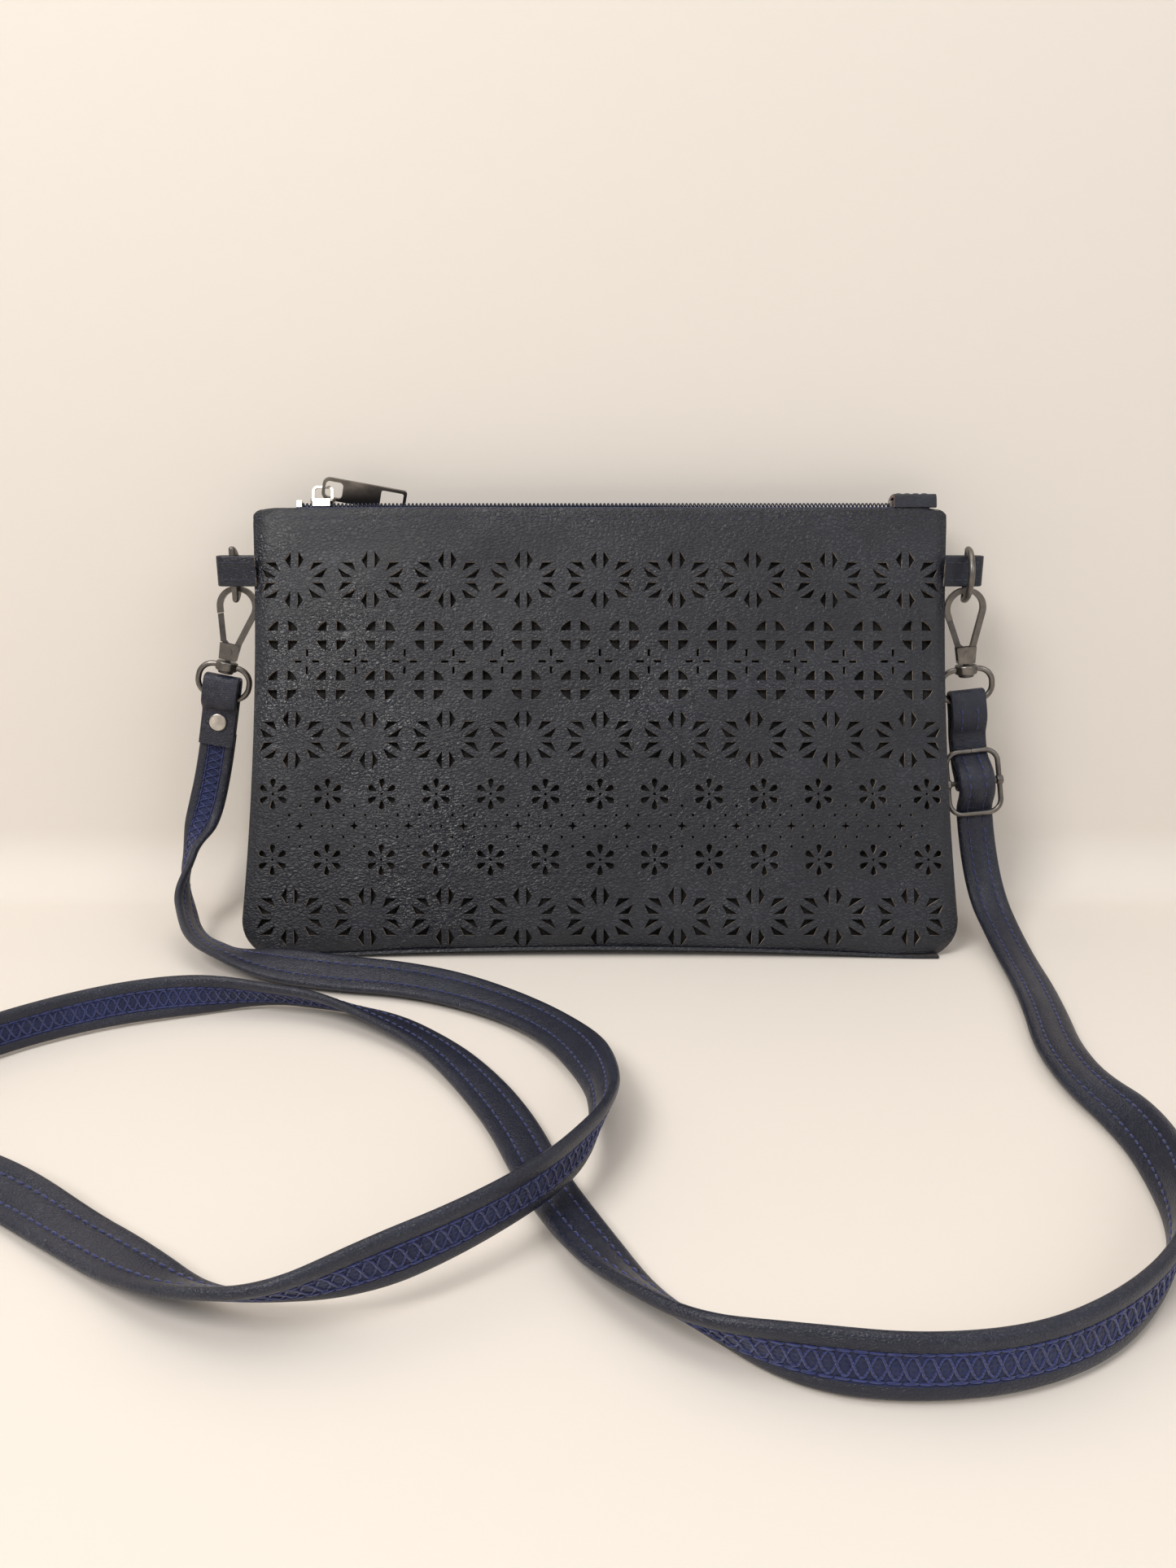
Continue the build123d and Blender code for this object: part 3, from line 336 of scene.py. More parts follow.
def cloth_finish(name, colour, lighter, thread=0.00045, depth=0.00012, sheen=0.2):
    """Plain weave: two crossed rows of threads, with slubs and faded patches."""
    f = Finish(name, colour, 0.85)
    bands = 1.0 / thread / 2 / pi
    pushed = f.swirl(0.0006, 300.0)
    across = f.wave(bands, pushed, "X")
    up = f.wave(bands, pushed, "Z")
    weave = f.maths("MAXIMUM", across, f.maths("SUBTRACT", 1.0, up))
    f.relief(f.maths("MULTIPLY_ADD", f.noise(900.0, 2.0), 0.5, weave), depth)
    faded = f.span(f.noise(60.0), 0.3, 0.7)
    f.drive("Base Color", f.blend(f.maths("MULTIPLY", weave, faded), colour, lighter))
    f.drive("Roughness", f.span(f.noise(400.0), 0.3, 0.7, 0.7, 0.95))
    return f.fixed(Sheen_Weight=sheen, Sheen_Roughness=0.5).material


def thread_finish(name, colour, lighter):
    """Twisted sewing thread: slanting plies and a soft sheen."""
    f = Finish(name, colour, 0.6)
    ply = f.wave(700.0, f.shifted(rotation=(0.4, 0.7, 0.2)), "DIAGONAL", 1.0)
    f.relief(f.maths("MULTIPLY_ADD", f.noise(2600.0), 0.4, ply), 0.00006)
    faded = f.span(f.noise(150.0), 0.3, 0.7, 0.4, 1.0)
    f.drive("Base Color", f.blend(f.maths("MULTIPLY", ply, faded), colour, lighter))
    f.drive("Roughness", f.span(f.noise(500.0), 0.3, 0.7, 0.45, 0.7))
    return f.fixed(Sheen_Weight=0.3).material


def metal_finish(name, colour, dark, rough, scratch=0.00002):
    """Plated metal: cloudy tarnish, fine handling scratches and a little unevenness from the casting."""
    f = Finish(name, colour, rough, 1.0)
    cloud = f.noise(160.0, 4.0, 0.6)
    lines = f.noise(900.0, 2.0, 0.5, f.shifted((1.0, 6.0, 0.8), rotation=(0.5, 0.3, 0.9)))
    f.drive("Base Color", f.blend(f.span(cloud, 0.35, 0.7), colour, dark))
    clouded = f.span(cloud, 0.3, 0.7, rough - 0.06, rough + 0.1)
    f.drive("Roughness", f.maths("MULTIPLY_ADD", lines, 0.16, clouded))
    f.relief(f.maths("MULTIPLY_ADD", cloud, 1.5, lines), scratch)
    return f.material


def raw_edge_finish(name, colour, dark):
    """Cut edge of the leather: fibrous, with scorched specks."""
    f = Finish(name, colour, 0.9)
    fibres = f.noise(1500.0, 4.0, 0.7, f.shifted((1, 0.3, 1)))
    scorch = f.span(f.noise(240.0, 3.0), 0.45, 0.62)
    f.drive("Base Color", f.blend(scorch, colour, dark))
    f.drive("Roughness", f.span(fibres, 0.3, 0.7, 0.8, 1.0))
    f.relief(fibres, 0.00015)
    return f.material


def coil_finish(name, colour, lighter):
    """Moulded nylon teeth: smooth, faintly mottled."""
    f = Finish(name, colour, 0.32)
    mottle = f.noise(700.0, 3.0)
    f.drive("Base Color", f.blend(f.span(mottle, 0.3, 0.7), colour, lighter))
    f.drive("Roughness", f.span(mottle, 0.3, 0.7, 0.25, 0.42))
    f.relief(mottle, 0.00003)
    return f.material


panel_leather = leather_finish(
    "panel_leather", (0.0065, 0.0078, 0.0145), (0.025, 0.029, 0.041),
    gloss=(((-0.105, 0.0, 0.105), (0.05, 0.2, 0.055), 0.26),
           ((-0.055, -0.02, 0.05), (0.06, 0.2, 0.045), 0.22),
           ((0.02, -0.01, 0.09), (0.07, 0.2, 0.05), 0.12)))
back_leather = leather_finish("back_leather", (0.0065, 0.0078, 0.0145), (0.022, 0.026, 0.037))
trim_leather = leather_finish("trim_leather", (0.0055, 0.0075, 0.017), (0.015, 0.020, 0.040), 900.0, 0.00014)
strap_leather = leather_finish("strap_leather", (0.0062, 0.0088, 0.0235), (0.026, 0.033, 0.058), 1150.0,
                               0.0002, rough=(0.34, 0.5))
raw_edge = raw_edge_finish("leather_raw_edge", (0.36, 0.30, 0.25), (0.05, 0.035, 0.028))
pink_edge = raw_edge_finish("folded_raw_edge", (0.30, 0.20, 0.19), (0.10, 0.05, 0.05))
flesh_side = raw_edge_finish("leather_flesh_side", (0.05, 0.043, 0.040), (0.02, 0.016, 0.014))
backing_cloth = cloth_finish("backing_cloth", (0.0016, 0.0014, 0.0014), (0.006, 0.0045, 0.004), sheen=0.0)
lining_cloth = cloth_finish("lining_cloth", (0.010, 0.009, 0.011), (0.028, 0.024, 0.024))
strap_cloth = cloth_finish("strap_underside_cloth", (0.006, 0.010, 0.045), (0.014, 0.024, 0.10), 0.0006)
zip_tape = cloth_finish("zip_tape_cloth", (0.006, 0.011, 0.050), (0.014, 0.026, 0.10), 0.0006, 0.00016)
hem_thread = thread_finish("hem_thread", (0.004, 0.0065, 0.028), (0.010, 0.016, 0.055))
strap_thread = thread_finish("strap_thread", (0.008, 0.014, 0.085), (0.022, 0.038, 0.20))
zip_nylon = coil_finish("zip_coil_nylon", (0.009, 0.012, 0.030), (0.017, 0.022, 0.048))
nickel = metal_finish("nickel", (0.72, 0.68, 0.62), (0.45, 0.42, 0.38), 0.24)
gunmetal = metal_finish("gunmetal", (0.25, 0.23, 0.21), (0.13, 0.12, 0.115), 0.28)
dark_gunmetal = metal_finish("dark_gunmetal", (0.16, 0.15, 0.145), (0.08, 0.075, 0.075), 0.33)
spring_steel = metal_finish("spring_steel", (0.5, 0.5, 0.5), (0.3, 0.3, 0.3), 0.3)


# ================================================================ camera
def make_camera():
    """Seen from a little above, square to the purse."""
    data = bpy.data.cameras.new("camera")
    data.lens = 26.25
    data.sensor_width = 36
    camera = bpy.data.objects.new("camera", data)
    camera.location = (-0.0045, -0.427, 0.177)
    camera.rotation_euler = (radians(90 - 15.5), 0, 0)
    bpy.context.scene.collection.objects.link(camera)
    bpy.context.scene.camera = camera


make_camera()

# ================================================================ strap
# corners of the strap's middle line in metres, and the side its face looks to
strap_route = [
    ((0.1481, 0.0032, 0.0413), (0, -1, 0)),
    ((0.1507, -0.0018, 0.0180), (0, -1, 0)),
    ((0.1535, -0.0295, 0.0036), (0.0, -0.5, 0.85)),
    ((0.1495, -0.0715, 0.0026), (0.0, 0.0, 1.0)),
    ((0.1390, -0.1175, 0.0032), (-0.15, 0.12, 0.97)),
    ((0.1460, -0.1605, 0.0064), (-0.55, 0.42, 0.60)),
    ((0.1330, -0.2055, 0.0079), (-0.60, 0.75, 0.15)),
    ((0.0960, -0.2385, 0.0078), (-0.20, 0.97, -0.10)),
    ((0.0500, -0.2445, 0.0078), (0.0, 0.98, -0.18)),
    ((0.0100, -0.2265, 0.0066), (0.10, 0.72, 0.60)),
    ((-0.0130, -0.1835, 0.0028), (0.08, 0.08, 1.0)),
    ((-0.0290, -0.1375, 0.0022), (0.0, 0.0, 1.0)),
    ((-0.0580, -0.0965, 0.0038), (0.10, 0.25, 0.95)),
    ((-0.1020, -0.0745, 0.0068), (0.0, 0.72, 0.68)),
    ((-0.1490, -0.0795, 0.0078), (-0.10, 0.97, -0.18)),
    ((-0.1870, -0.1035, 0.0078), (-0.60, 0.78, 0.0)),
    ((-0.2070, -0.1345, 0.0078), (-0.97, 0.20, 0.10)),
    ((-0.1940, -0.1665, 0.0070), (-0.60, -0.50, 0.60)),
    ((-0.1570, -0.1755, 0.0050), (-0.25, -0.40, 0.88)),
    ((-0.1180, -0.2015, 0.0034), (-0.05, -0.05, 1.0)),
    ((-0.0810, -0.2275, 0.0084), (0.0, 0.65, 0.75)),
    ((-0.0410, -0.2185, 0.0154), (-0.15, 0.97, 0.05)),
    ((-0.0060, -0.1845, 0.0156), (-0.75, 0.62, 0.10)),
    ((0.0030, -0.1385, 0.0090), (-0.80, 0.20, 0.50)),
    ((-0.0150, -0.0915, 0.0040), (-0.25, -0.10, 0.95)),
    ((-0.0570, -0.0635, 0.0054), (0.0, -0.45, 0.88)),
    ((-0.1040, -0.0565, 0.0062), (0.0, -0.55, 0.82)),
    ((-0.1420, -0.0435, 0.0076), (0.40, 0.10, 0.80)),
    ((-0.1600, -0.0165, 0.0106), (0.75, 0.35, 0.55)),
    ((-0.1640, 0.0035, 0.0270), (0.72, 0.68, 0.10)),
    ((-0.1563, 0.0160, 0.0490), (0, 1, 0)),
    ((-0.1512, 0.0169, 0.0755), (0, 1, 0)),
]


def strap_line():
    """Points of the strap's smooth NURBS line in millimetres, and its face direction at each."""
    curve = bpy.data.curves.new("strap_line", "CURVE")
    curve.dimensions = "3D"
    spline = curve.splines.new("NURBS")
    spline.points.add(len(strap_route) - 1)
    for point, (xyz, _) in zip(spline.points, strap_route):
        point.co = (*xyz, 1)
    spline.order_u = 3
    spline.use_endpoint_u = True
    spline.resolution_u = 36
    holder = bpy.data.objects.new("strap_line", curve)
    mesh = bpy.data.meshes.new_from_object(holder)
    line = np.empty(len(mesh.vertices) * 3)
    mesh.vertices.foreach_get("co", line)
    line = line.reshape(-1, 3) / MM
    bpy.data.objects.remove(holder)
    bpy.data.meshes.remove(mesh)
    bpy.data.curves.remove(curve)
    corners = np.array([p for p, _ in strap_route]) / MM
    sides = np.array([f for _, f in strap_route], float)
    length = arc_length(line)
    nearest = np.argmin(np.linalg.norm(line[None] - corners[:, None], axis=-1), axis=1)
    stations = np.maximum.accumulate(length[nearest]) + np.arange(len(corners)) * 1e-6
    share = np.interp(length, stations, np.arange(len(corners)))
    whole = np.minimum(share.astype(int), len(corners) - 2)
    local = share - whole
    local = (local * local * (3 - 2 * local))[:, None]
    return line, sides[whole] * (1 - local) + sides[whole + 1] * local


def strap_profile():
    """Cross-section: domed face with two sunk seams, round turned edges, and a sunk band underneath."""
    face = [(7.0, 0.0), (6.9, 0.55), (6.45, 1.1), (5.7, 1.4), (4.6, 1.45), (3.7, 1.3), (3.0, 1.12),
            (2.3, 1.32), (1.2, 1.48), (0.0, 1.5)]
    under = [(0.0, -0.95), (1.6, -0.95), (3.2, -0.95), (3.55, -1.35), (4.2, -1.5), (5.2, -1.5), (6.1, -1.3),
             (6.75, -0.75)]
    over = face + [(-x, y) for x, y in face[-2::-1]]
    below = [(-x, y) for x, y in under[::-1]] + under[1:]
    return np.array(over + below)


def strap_frames(line, sides, distances):
    """Place, direction, face normal and across vector at given distances along the strap."""
    centre = along(line, distances)
    t = unit(along(line, distances, np.gradient(line, axis=0)))
    n = along(line, distances, sides)
    n = unit(n - t * np.sum(n * t, -1, keepdims=True))
    return centre, t, n, np.cross(n, t)


def build_strap():
    """The long strap with its seams: two rows of stitches on the face, a laced band underneath."""
    line, sides = strap_line()
    profile = strap_profile()
    n = len(profile)
    middle = (profile[:, 1] + np.roll(profile[:, 1], -1)) / 2
    reach = np.maximum(abs(profile[:, 0]), abs(np.roll(profile[:, 0], -1)))
    sunk = ((middle < 0) & (reach < 3.6)).astype(np.int32)
    strap = band("strap_leather_band", line, sides, profile, [strap_leather, strap_cloth, raw_edge],
                 underside=sunk, slot="strap_leather")
    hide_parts("strap")
    total = arc_length(line)[-1]
    at = np.arange(3.0, total - 3.0, STITCH_PITCH)
    c, t, up, across = strap_frames(line, sides, at)
    both = np.concatenate([c + across * side * SEAM_OFFSET + up * FACE_SEAM_RISE for side in (1, -1)])
    seams = stitches("strap_face_stitches", both, np.tile(t, (2, 1)), np.tile(up, (2, 1)), 2.3, 0.32,
                     strap_thread, lift=0.12)
    fine = np.arange(1.0, total - 1.0, 0.8)
    c, t, up, across = strap_frames(line, sides, fine)
    laces = []
    for k, sign in enumerate((1, -1)):
        turn = pi * fine / STITCH_PITCH
        sway = 2.55 * np.sin(turn) * sign
        path = c + across * sway[:, None] - up * (1.1 + 0.12 * sign * np.cos(turn))[:, None]
        laces.append(tube(f"strap_lace_{k + 1}", path, 0.3, strap_thread, sides=5, up=(0.31, 0.17, 0.93)))
    at = np.arange(2.0, total - 2.0, STITCH_PITCH)
    c, t, up, across = strap_frames(line, sides, at)
    rails = np.concatenate([c + across * side * 2.95 - up * RAIL_DROP for side in (1, -1)])
    laces.append(stitches("strap_lace_rails", rails, np.tile(t, (2, 1)), np.tile(-up, (2, 1)), 3.1, 0.34,
                          strap_thread, lift=0.1))
    return strap, line, [seams] + laces


strap, strap_path, strap_sewing = build_strap()


# ================================================================ front panel
def side_half(s):
    """Half width at height s: parabola through foot, waist and top; quarter circles at both corners."""
    heights = (CORNER, WAIST_HEIGHT, PANEL_HEIGHT)
    halves = (FOOT_HALF, WAIST_HALF, TOP_HALF)
    s = np.asarray(s, float)
    width = np.zeros_like(s)
    for k in range(3):
        term = np.full_like(s, halves[k])
        for m in range(3):
            if m != k:
                term = term * (s - heights[m]) / (heights[k] - heights[m])
        width = width + term
    low = FOOT_HALF - CORNER + np.sqrt(np.clip(CORNER ** 2 - (CORNER - s) ** 2, 0, None))
    width = np.where(s < CORNER, low, width)
    over = np.clip(s - (PANEL_HEIGHT - TOP_CORNER), 0, TOP_CORNER)
    return width - (TOP_CORNER - np.sqrt(np.clip(TOP_CORNER ** 2 - over ** 2, 0, None)))


def floor_rise(x):
    """Height of the bottom edge: arch * (1 - (x / flat)^2)."""
    return ARCH * np.clip(1 - (x / (FOOT_HALF - CORNER)) ** 2, 0, None)


def ripples(x, s):
    """Slow unevenness of the soft panel: a few crossed sines."""
    return (0.35 * np.sin(x / 23 + 0.8) * np.sin(s / 31 + 0.4) + 0.22 * np.sin(x / 11 - s / 17 + 1.1)
            + 0.12 * np.sin(x / 6.1 + s / 9.3) + 0.10 * np.sin(s / 5.2 - x / 13.7 + 2.0))


def front_depth(x, s):
    """Depth of the front: ripples and a slight swell, edges turned back, the hem's seam pressed in."""
    inside = side_half(s) - abs(x)
    swell = np.clip(1 - (x / 132) ** 2, 0, 1) * np.sin(pi * np.clip(s / PANEL_HEIGHT, 0, 1))
    edge = np.clip(1 - inside / 6.5, 0, 1) ** 2 * 2.0
    under = np.clip(1 - (s - floor_rise(x)) / 11.0, 0, 1) ** 2 * 3.2
    top = np.clip((s - 150) / 21, 0, 1)
    quiet = np.clip(inside / 12, 0, 1) * (1 - top)
    seam = 0.45 * np.exp(-((s - SEAM_HEIGHT) / 0.8) ** 2)
    lip = 0.5 * np.clip((s - 169.4) / 1.6, 0, 1) ** 2
    return -1.3 * swell * (1 - top) + ripples(x, s) * quiet + edge + under + seam + lip


def columns(count, pitch):
    """Even columns about the middle."""
    return (np.arange(count) - (count - 1) / 2) * pitch


def turned(points, quarter_angle):
    """Points turned about the origin by an angle in degrees."""
    c, s = cos(radians(quarter_angle)), sin(radians(quarter_angle))
    return np.asarray(points, float) @ np.array([[c, s], [-s, c]])


def arc_points(radius, start, end, count):
    """Points on a circle about the origin between two angles in degrees."""
    q = np.radians(np.linspace(start, end, count))
    return np.stack([radius * np.cos(q), radius * np.sin(q)], -1)


def lattice():
    """Every window as a closed loop of (x, s): flowers, quartered rounds, pluses, petals, stars, dots."""
    quarter = [np.array(w, float) for w in (((1.3, 4.1), (1.3, 11.2), (3.6, 7.8)),
                                            ((5.4, 3.2), (11.3, 6.9), (7.0, 6.9)),
                                            ((6.6, 0.95), (12.6, 4.7), (10.7, 0.95)))]
    flower = [w * (ax, up) for ax in (-1, 1) for up in (-1, 1) for w in quarter]
    arm = 17.46
    wedge = np.vstack([[(1.8, 1.8)], arc_points(6.0, arm, 90 - arm, 6)])
    rounds = [turned(wedge, 90 * k) for k in range(4)]
    slot = np.array([(1.9, -0.5), (4.7, -0.5), (4.7, 0.5), (1.9, 0.5)])
    plus = [turned(slot, 90 * k) for k in range(4)]
    drop = np.array([(1.9, 0), (3.3, -0.72), (4.75, -1.15), (5.5, -0.9), (5.9, 0), (5.5, 0.9), (4.75, 1.15),
                     (3.3, 0.72)])
    dot = arc_points(0.55, 0, 315, 8)
    petals = [turned(drop, 30 + 60 * k) for k in range(6)] + [dot]
    star = [np.vstack([turned([(1.9, 0), (0.5, 0.5)], 90 * k) for k in range(4)])]
    ring = [(8.2, 0), (-8.2, 0), (0, 7.6), (0, -7.6), (4.1, 4.1), (4.1, -4.1), (-4.1, 4.1), (-4.1, -4.1)]
    star += [dot + p for p in ring]
    rows = [(flower, 9, 28.95, (143.1, 82.4, 16.2)), (rounds, 14, 18.42, (121.9, 103.1)),
            (plus, 13, 18.42, (112.0,)), (petals, 13, 20.45, (62.0, 37.4)), (star, 12, 20.45, (50.0,))]
    return [shape + (x, s) for motif, count, pitch, heights in rows for s in heights
            for x in columns(count, pitch) for shape in motif]


def outline():
    """Closed outline of the panel, counter-clockwise from the bottom middle."""
    x = np.linspace(0, FOOT_HALF - CORNER, 60)[:-1]
    bottom = np.stack([x, floor_rise(x)], -1)
    q = np.linspace(-pi / 2, 0, 12)
    corner = np.stack([FOOT_HALF - CORNER + CORNER * np.cos(q), CORNER + CORNER * np.sin(q)], -1)
    s = np.concatenate([np.linspace(CORNER, PANEL_HEIGHT - TOP_CORNER, 76)[1:],
                        PANEL_HEIGHT - TOP_CORNER + TOP_CORNER * np.sin(np.linspace(0, pi / 2, 8))[1:]])
    side = np.stack([side_half(s), s], -1)
    top = np.stack([np.linspace(side[-1, 0], 0, 70)[1:], np.full(69, PANEL_HEIGHT)], -1)
    right = np.vstack([bottom, corner, side, top])
    left = right[1:-1][::-1] * (-1, 1)
    return np.vstack([right, left])


def inside_loop(loop, points):
    """Even-odd test of points against a closed loop, for all points at once."""
    x, y = points[:, 0], points[:, 1]
    a, b = loop, np.roll(loop, -1, axis=0)
    crosses = (a[None, :, 1] > y[:, None]) != (b[None, :, 1] > y[:, None])
    rise = np.where(b[:, 1] == a[:, 1], 1e-9, b[:, 1] - a[:, 1])
    at = a[None, :, 0] + (y[:, None] - a[None, :, 1]) * ((b[:, 0] - a[:, 0]) / rise)[None]
    return (crosses & (x[:, None] < at)).sum(1) % 2 == 1


def sheet_plan(loops, pitch, border):
    """Triangles of the outline with the loops left open, from an even lattice of points between them."""
    rim = outline()
    x, s = np.meshgrid(np.arange(-133, 133.1, pitch), np.arange(1.0, PANEL_HEIGHT, pitch * 0.9))
    x = x + (np.arange(len(x)) % 2)[:, None] * pitch / 2
    field = np.stack([x.ravel(), s.ravel()], -1)
    inside = side_half(field[:, 1]) - abs(field[:, 0]) > border
    inside &= field[:, 1] - floor_rise(field[:, 0]) > border
    inside &= field[:, 1] < PANEL_HEIGHT - border
    rims = [rim] + loops
    near = np.vstack([p for w in loops for p in (w, (w + np.roll(w, -1, axis=0)) / 2)]) if loops else rim
    for low in range(0, len(near), 400):
        part = near[low:low + 400]
        gap = np.min(np.sum((field[:, None] - part[None]) ** 2, -1), axis=1)
        inside &= gap > (0.35 * pitch) ** 2
    points = np.vstack(rims + [field[inside]])
    edges, start = [], 0
    for loop in rims:
        ring = np.arange(start, start + len(loop))
        edges += np.stack([ring, np.roll(ring, -1)], -1).tolist()
        start += len(loop)
    verts, _, faces, _, _, _ = delaunay_2d_cdt([Vector(p) for p in points], edges, [], 1, 1e-5)
    flat = np.array([v[:] for v in verts])
    triangles = np.array(faces)
    middle = flat[triangles].mean(1)
    keep = np.ones(len(triangles), bool)
    for loop in loops:
        low, high = loop.min(0), loop.max(0)
        near_by = np.flatnonzero(np.all((middle > low) & (middle < high), axis=1))
        keep[near_by] &= ~inside_loop(loop, middle[near_by])
    triangles = triangles[keep]
    a, b, c = (flat[triangles[:, k]] for k in range(3))
    area = (b[:, 0] - a[:, 0]) * (c[:, 1] - a[:, 1]) - (c[:, 0] - a[:, 0]) * (b[:, 1] - a[:, 1])
    triangles[area < 0] = triangles[area < 0][:, ::-1]
    return flat, triangles[abs(area) > 1e-6]


def layered_sheet(name, flat, triangles, depth, thickness, materials, slot, shrink=0.0):
    """A sheet (x, depth(x, s), s) with a back at + thickness and a wall round every open edge."""
    x, s = flat[:, 0], flat[:, 1]
    y = depth(x, s)
    front = np.stack([x, y, s], -1)
    back = np.stack([x, y + thickness, s], -1)
    n = len(flat)
    sides = np.vstack([triangles[:, [0, 1]], triangles[:, [1, 2]], triangles[:, [2, 0]]])
    key = np.sort(sides, axis=1) @ [n, 1]
    _, first, count = np.unique(key, return_index=True, return_counts=True)
    rim = sides[first[count == 1]]
    walls = np.stack([rim[:, 1], rim[:, 0], rim[:, 0] + n, rim[:, 1] + n], -1)
    outer = np.abs(side_half(s) - abs(x)) < 0.3
    outer |= (s > PANEL_HEIGHT - 0.3) | (s - floor_rise(x) < 0.3)
    own = np.where(outer[rim].all(1), 0, 1)
    faces = triangles.tolist() + (triangles[:, ::-1] + n).tolist() + walls.tolist()
    index = np.concatenate([np.zeros(len(triangles)), np.full(len(triangles), 2), own])
    points = stand(np.vstack([front, back]))
    if shrink:
        points[:, 2] = np.maximum(points[:, 2], shrink)
    return write_mesh(name, points, faces, materials, index=index, slot=slot, close=True)


def build_front():
    """Cut-out leather front, dark backing behind its windows, and the stitched hem."""
    flat, triangles = sheet_plan(lattice(), 2.5, 0.9)
    front = layered_sheet("front_leather", flat, triangles, front_depth, LEATHER,
                          [panel_leather, raw_edge, flesh_side], "panel_leather", 0.05)
    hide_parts("front_panel")
    plain, cells = sheet_plan([], 5.0, 1.5)
    plain = plain * 0.975 + (0, 2.4)

    def slack(x, s):
        """The backing hangs a little loose behind the leather: front depth + clearance + soft folds."""
        loose = 0.5 + 0.5 * np.sin(x / 9.0 + 0.6 * np.sin(s / 14)) * np.sin(s / 12 + x / 40)
        return front_depth(x, s) + LEATHER + 0.35 + 0.9 * loose

    backing = layered_sheet("front_backing_cloth", plain, cells, slack, 0.4, [backing_cloth] * 3,
                            "backing_cloth")
    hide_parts("front_backing", "front_lining")
    x = np.arange(-128.5, 128.6, 6.0)
    s = np.full_like(x, SEAM_HEIGHT)
    at = np.stack([x, front_depth(x, s), s], -1)
    centres = stand(at)
    ahead = np.tile([1.0, 0.0, 0.0], (len(x), 1))
    out = np.tile([0.0, -cos(LEAN), sin(LEAN)], (len(x), 1))
    stitches("front_hem_stitches", centres, ahead, out, 4.7, 0.34, hem_thread, lift=0.1)


build_front()


# ================================================================ back panel
def plan_limit(x):
    """Depth that the gusseted back reaches at x: 26 mm in the middle, 3 mm at the side seams, on a circle."""
    rise, half = PLAN_DEPTH - SEAM_DEPTH, FOOT_HALF + 1.0
    radius = (rise ** 2 + half ** 2) / 2 / rise
    return SEAM_DEPTH + np.sqrt(np.maximum(radius ** 2 - x ** 2, 0)) - (radius - rise)


def back_profile(s):
    """Depth of the back at height s on the middle line: parabola through floor corner, belly and mouth."""
    heights = (FLOOR_HEIGHT, BELLY_HEIGHT, PANEL_HEIGHT - MOUTH_DROP)
    depths = (FLOOR_DEPTH, BELLY_DEPTH, MOUTH_DEPTH)
    total = np.zeros_like(s)
    for k in range(3):
        term = np.full_like(s, depths[k])
        for m in range(3):
            if m != k:
                term = term * (s - heights[m]) / (heights[k] - heights[m])
        total = total + term
    return total


def soft_least(a, b, softness=1.6):
    """Smooth minimum: -k log(exp(-a/k) + exp(-b/k))."""
    return -softness * np.log(np.exp(-a / softness) + np.exp(-b / softness))


def back_surface(inset=0.0, columns_count=97, rows_count=64, wavy=1.0):
    """Grid over u (across) and v (front edge of the floor, round the back, up to the mouth)."""
    u = np.sin(np.linspace(-pi / 2, pi / 2, columns_count) * 0.94) / sin(pi / 2 * 0.94)
    floor_count = 14
    rise = np.linspace(0, 1, rows_count - floor_count)
    grid = np.zeros((rows_count, columns_count, 3))
    foot = soft_least(plan_limit(u * 131.0), np.full_like(u, FLOOR_DEPTH)) - inset
    front_edge = 1.35
    f = np.linspace(0, 1, floor_count, endpoint=False)[:, None]
    y_floor = front_edge + inset + (foot - front_edge - inset)[None] * f
    base = floor_rise(u * (FOOT_HALF - CORNER))[None]
    s_floor = np.maximum(y_floor * tan(LEAN), base * (1 - f)) + inset
    grid[:floor_count, :, 1] = y_floor
    grid[:floor_count, :, 2] = s_floor
    low = np.maximum(foot * tan(LEAN), 0) + inset
    top = PANEL_HEIGHT - MOUTH_DROP * np.clip(1 - (u / 0.98) ** 6, 0, 1) - 0.4
    s = low[None] + (top - low)[None] * rise[:, None] ** 1.05
    grid[floor_count:, :, 2] = s
    half = side_half(np.clip(s, 0.5, PANEL_HEIGHT)) - inset
    grid[floor_count:, :, 0] = u[None] * half
    grid[:floor_count, :, 0] = u[None] * (side_half(np.clip(s_floor, 2.0, PANEL_HEIGHT)) - inset)
    x = grid[floor_count:, :, 0]
    depth = soft_least(plan_limit(x), back_profile(s))
    sag = wavy * (0.9 * np.sin(x / 27 + s / 41) * np.sin(s / 24 + 0.7) + 0.45 * np.sin(x / 12 - s / 19))
    calm = np.clip((1 - abs(u)) / 0.12, 0, 1)[None]
    calm = calm * np.clip(rise / 0.1, 0, 1)[:, None] * np.clip((1 - rise) / 0.1, 0, 1)[:, None]
    grid[floor_count:, :, 1] = np.maximum(depth + sag * calm - inset - 0.9, 2.2)
    kernel = np.array([1, 2, 3, 2, 1]) / 9
    for axis in (1, 2):
        padded = np.pad(grid[:, :, axis], ((2, 2), (0, 0)), mode="edge")
        smooth = sum(k * padded[i:i + rows_count] for i, k in enumerate(kernel))
        smooth[0], smooth[-1] = grid[0, :, axis], grid[-1, :, axis]
        grid[:, :, axis] = smooth
    return grid


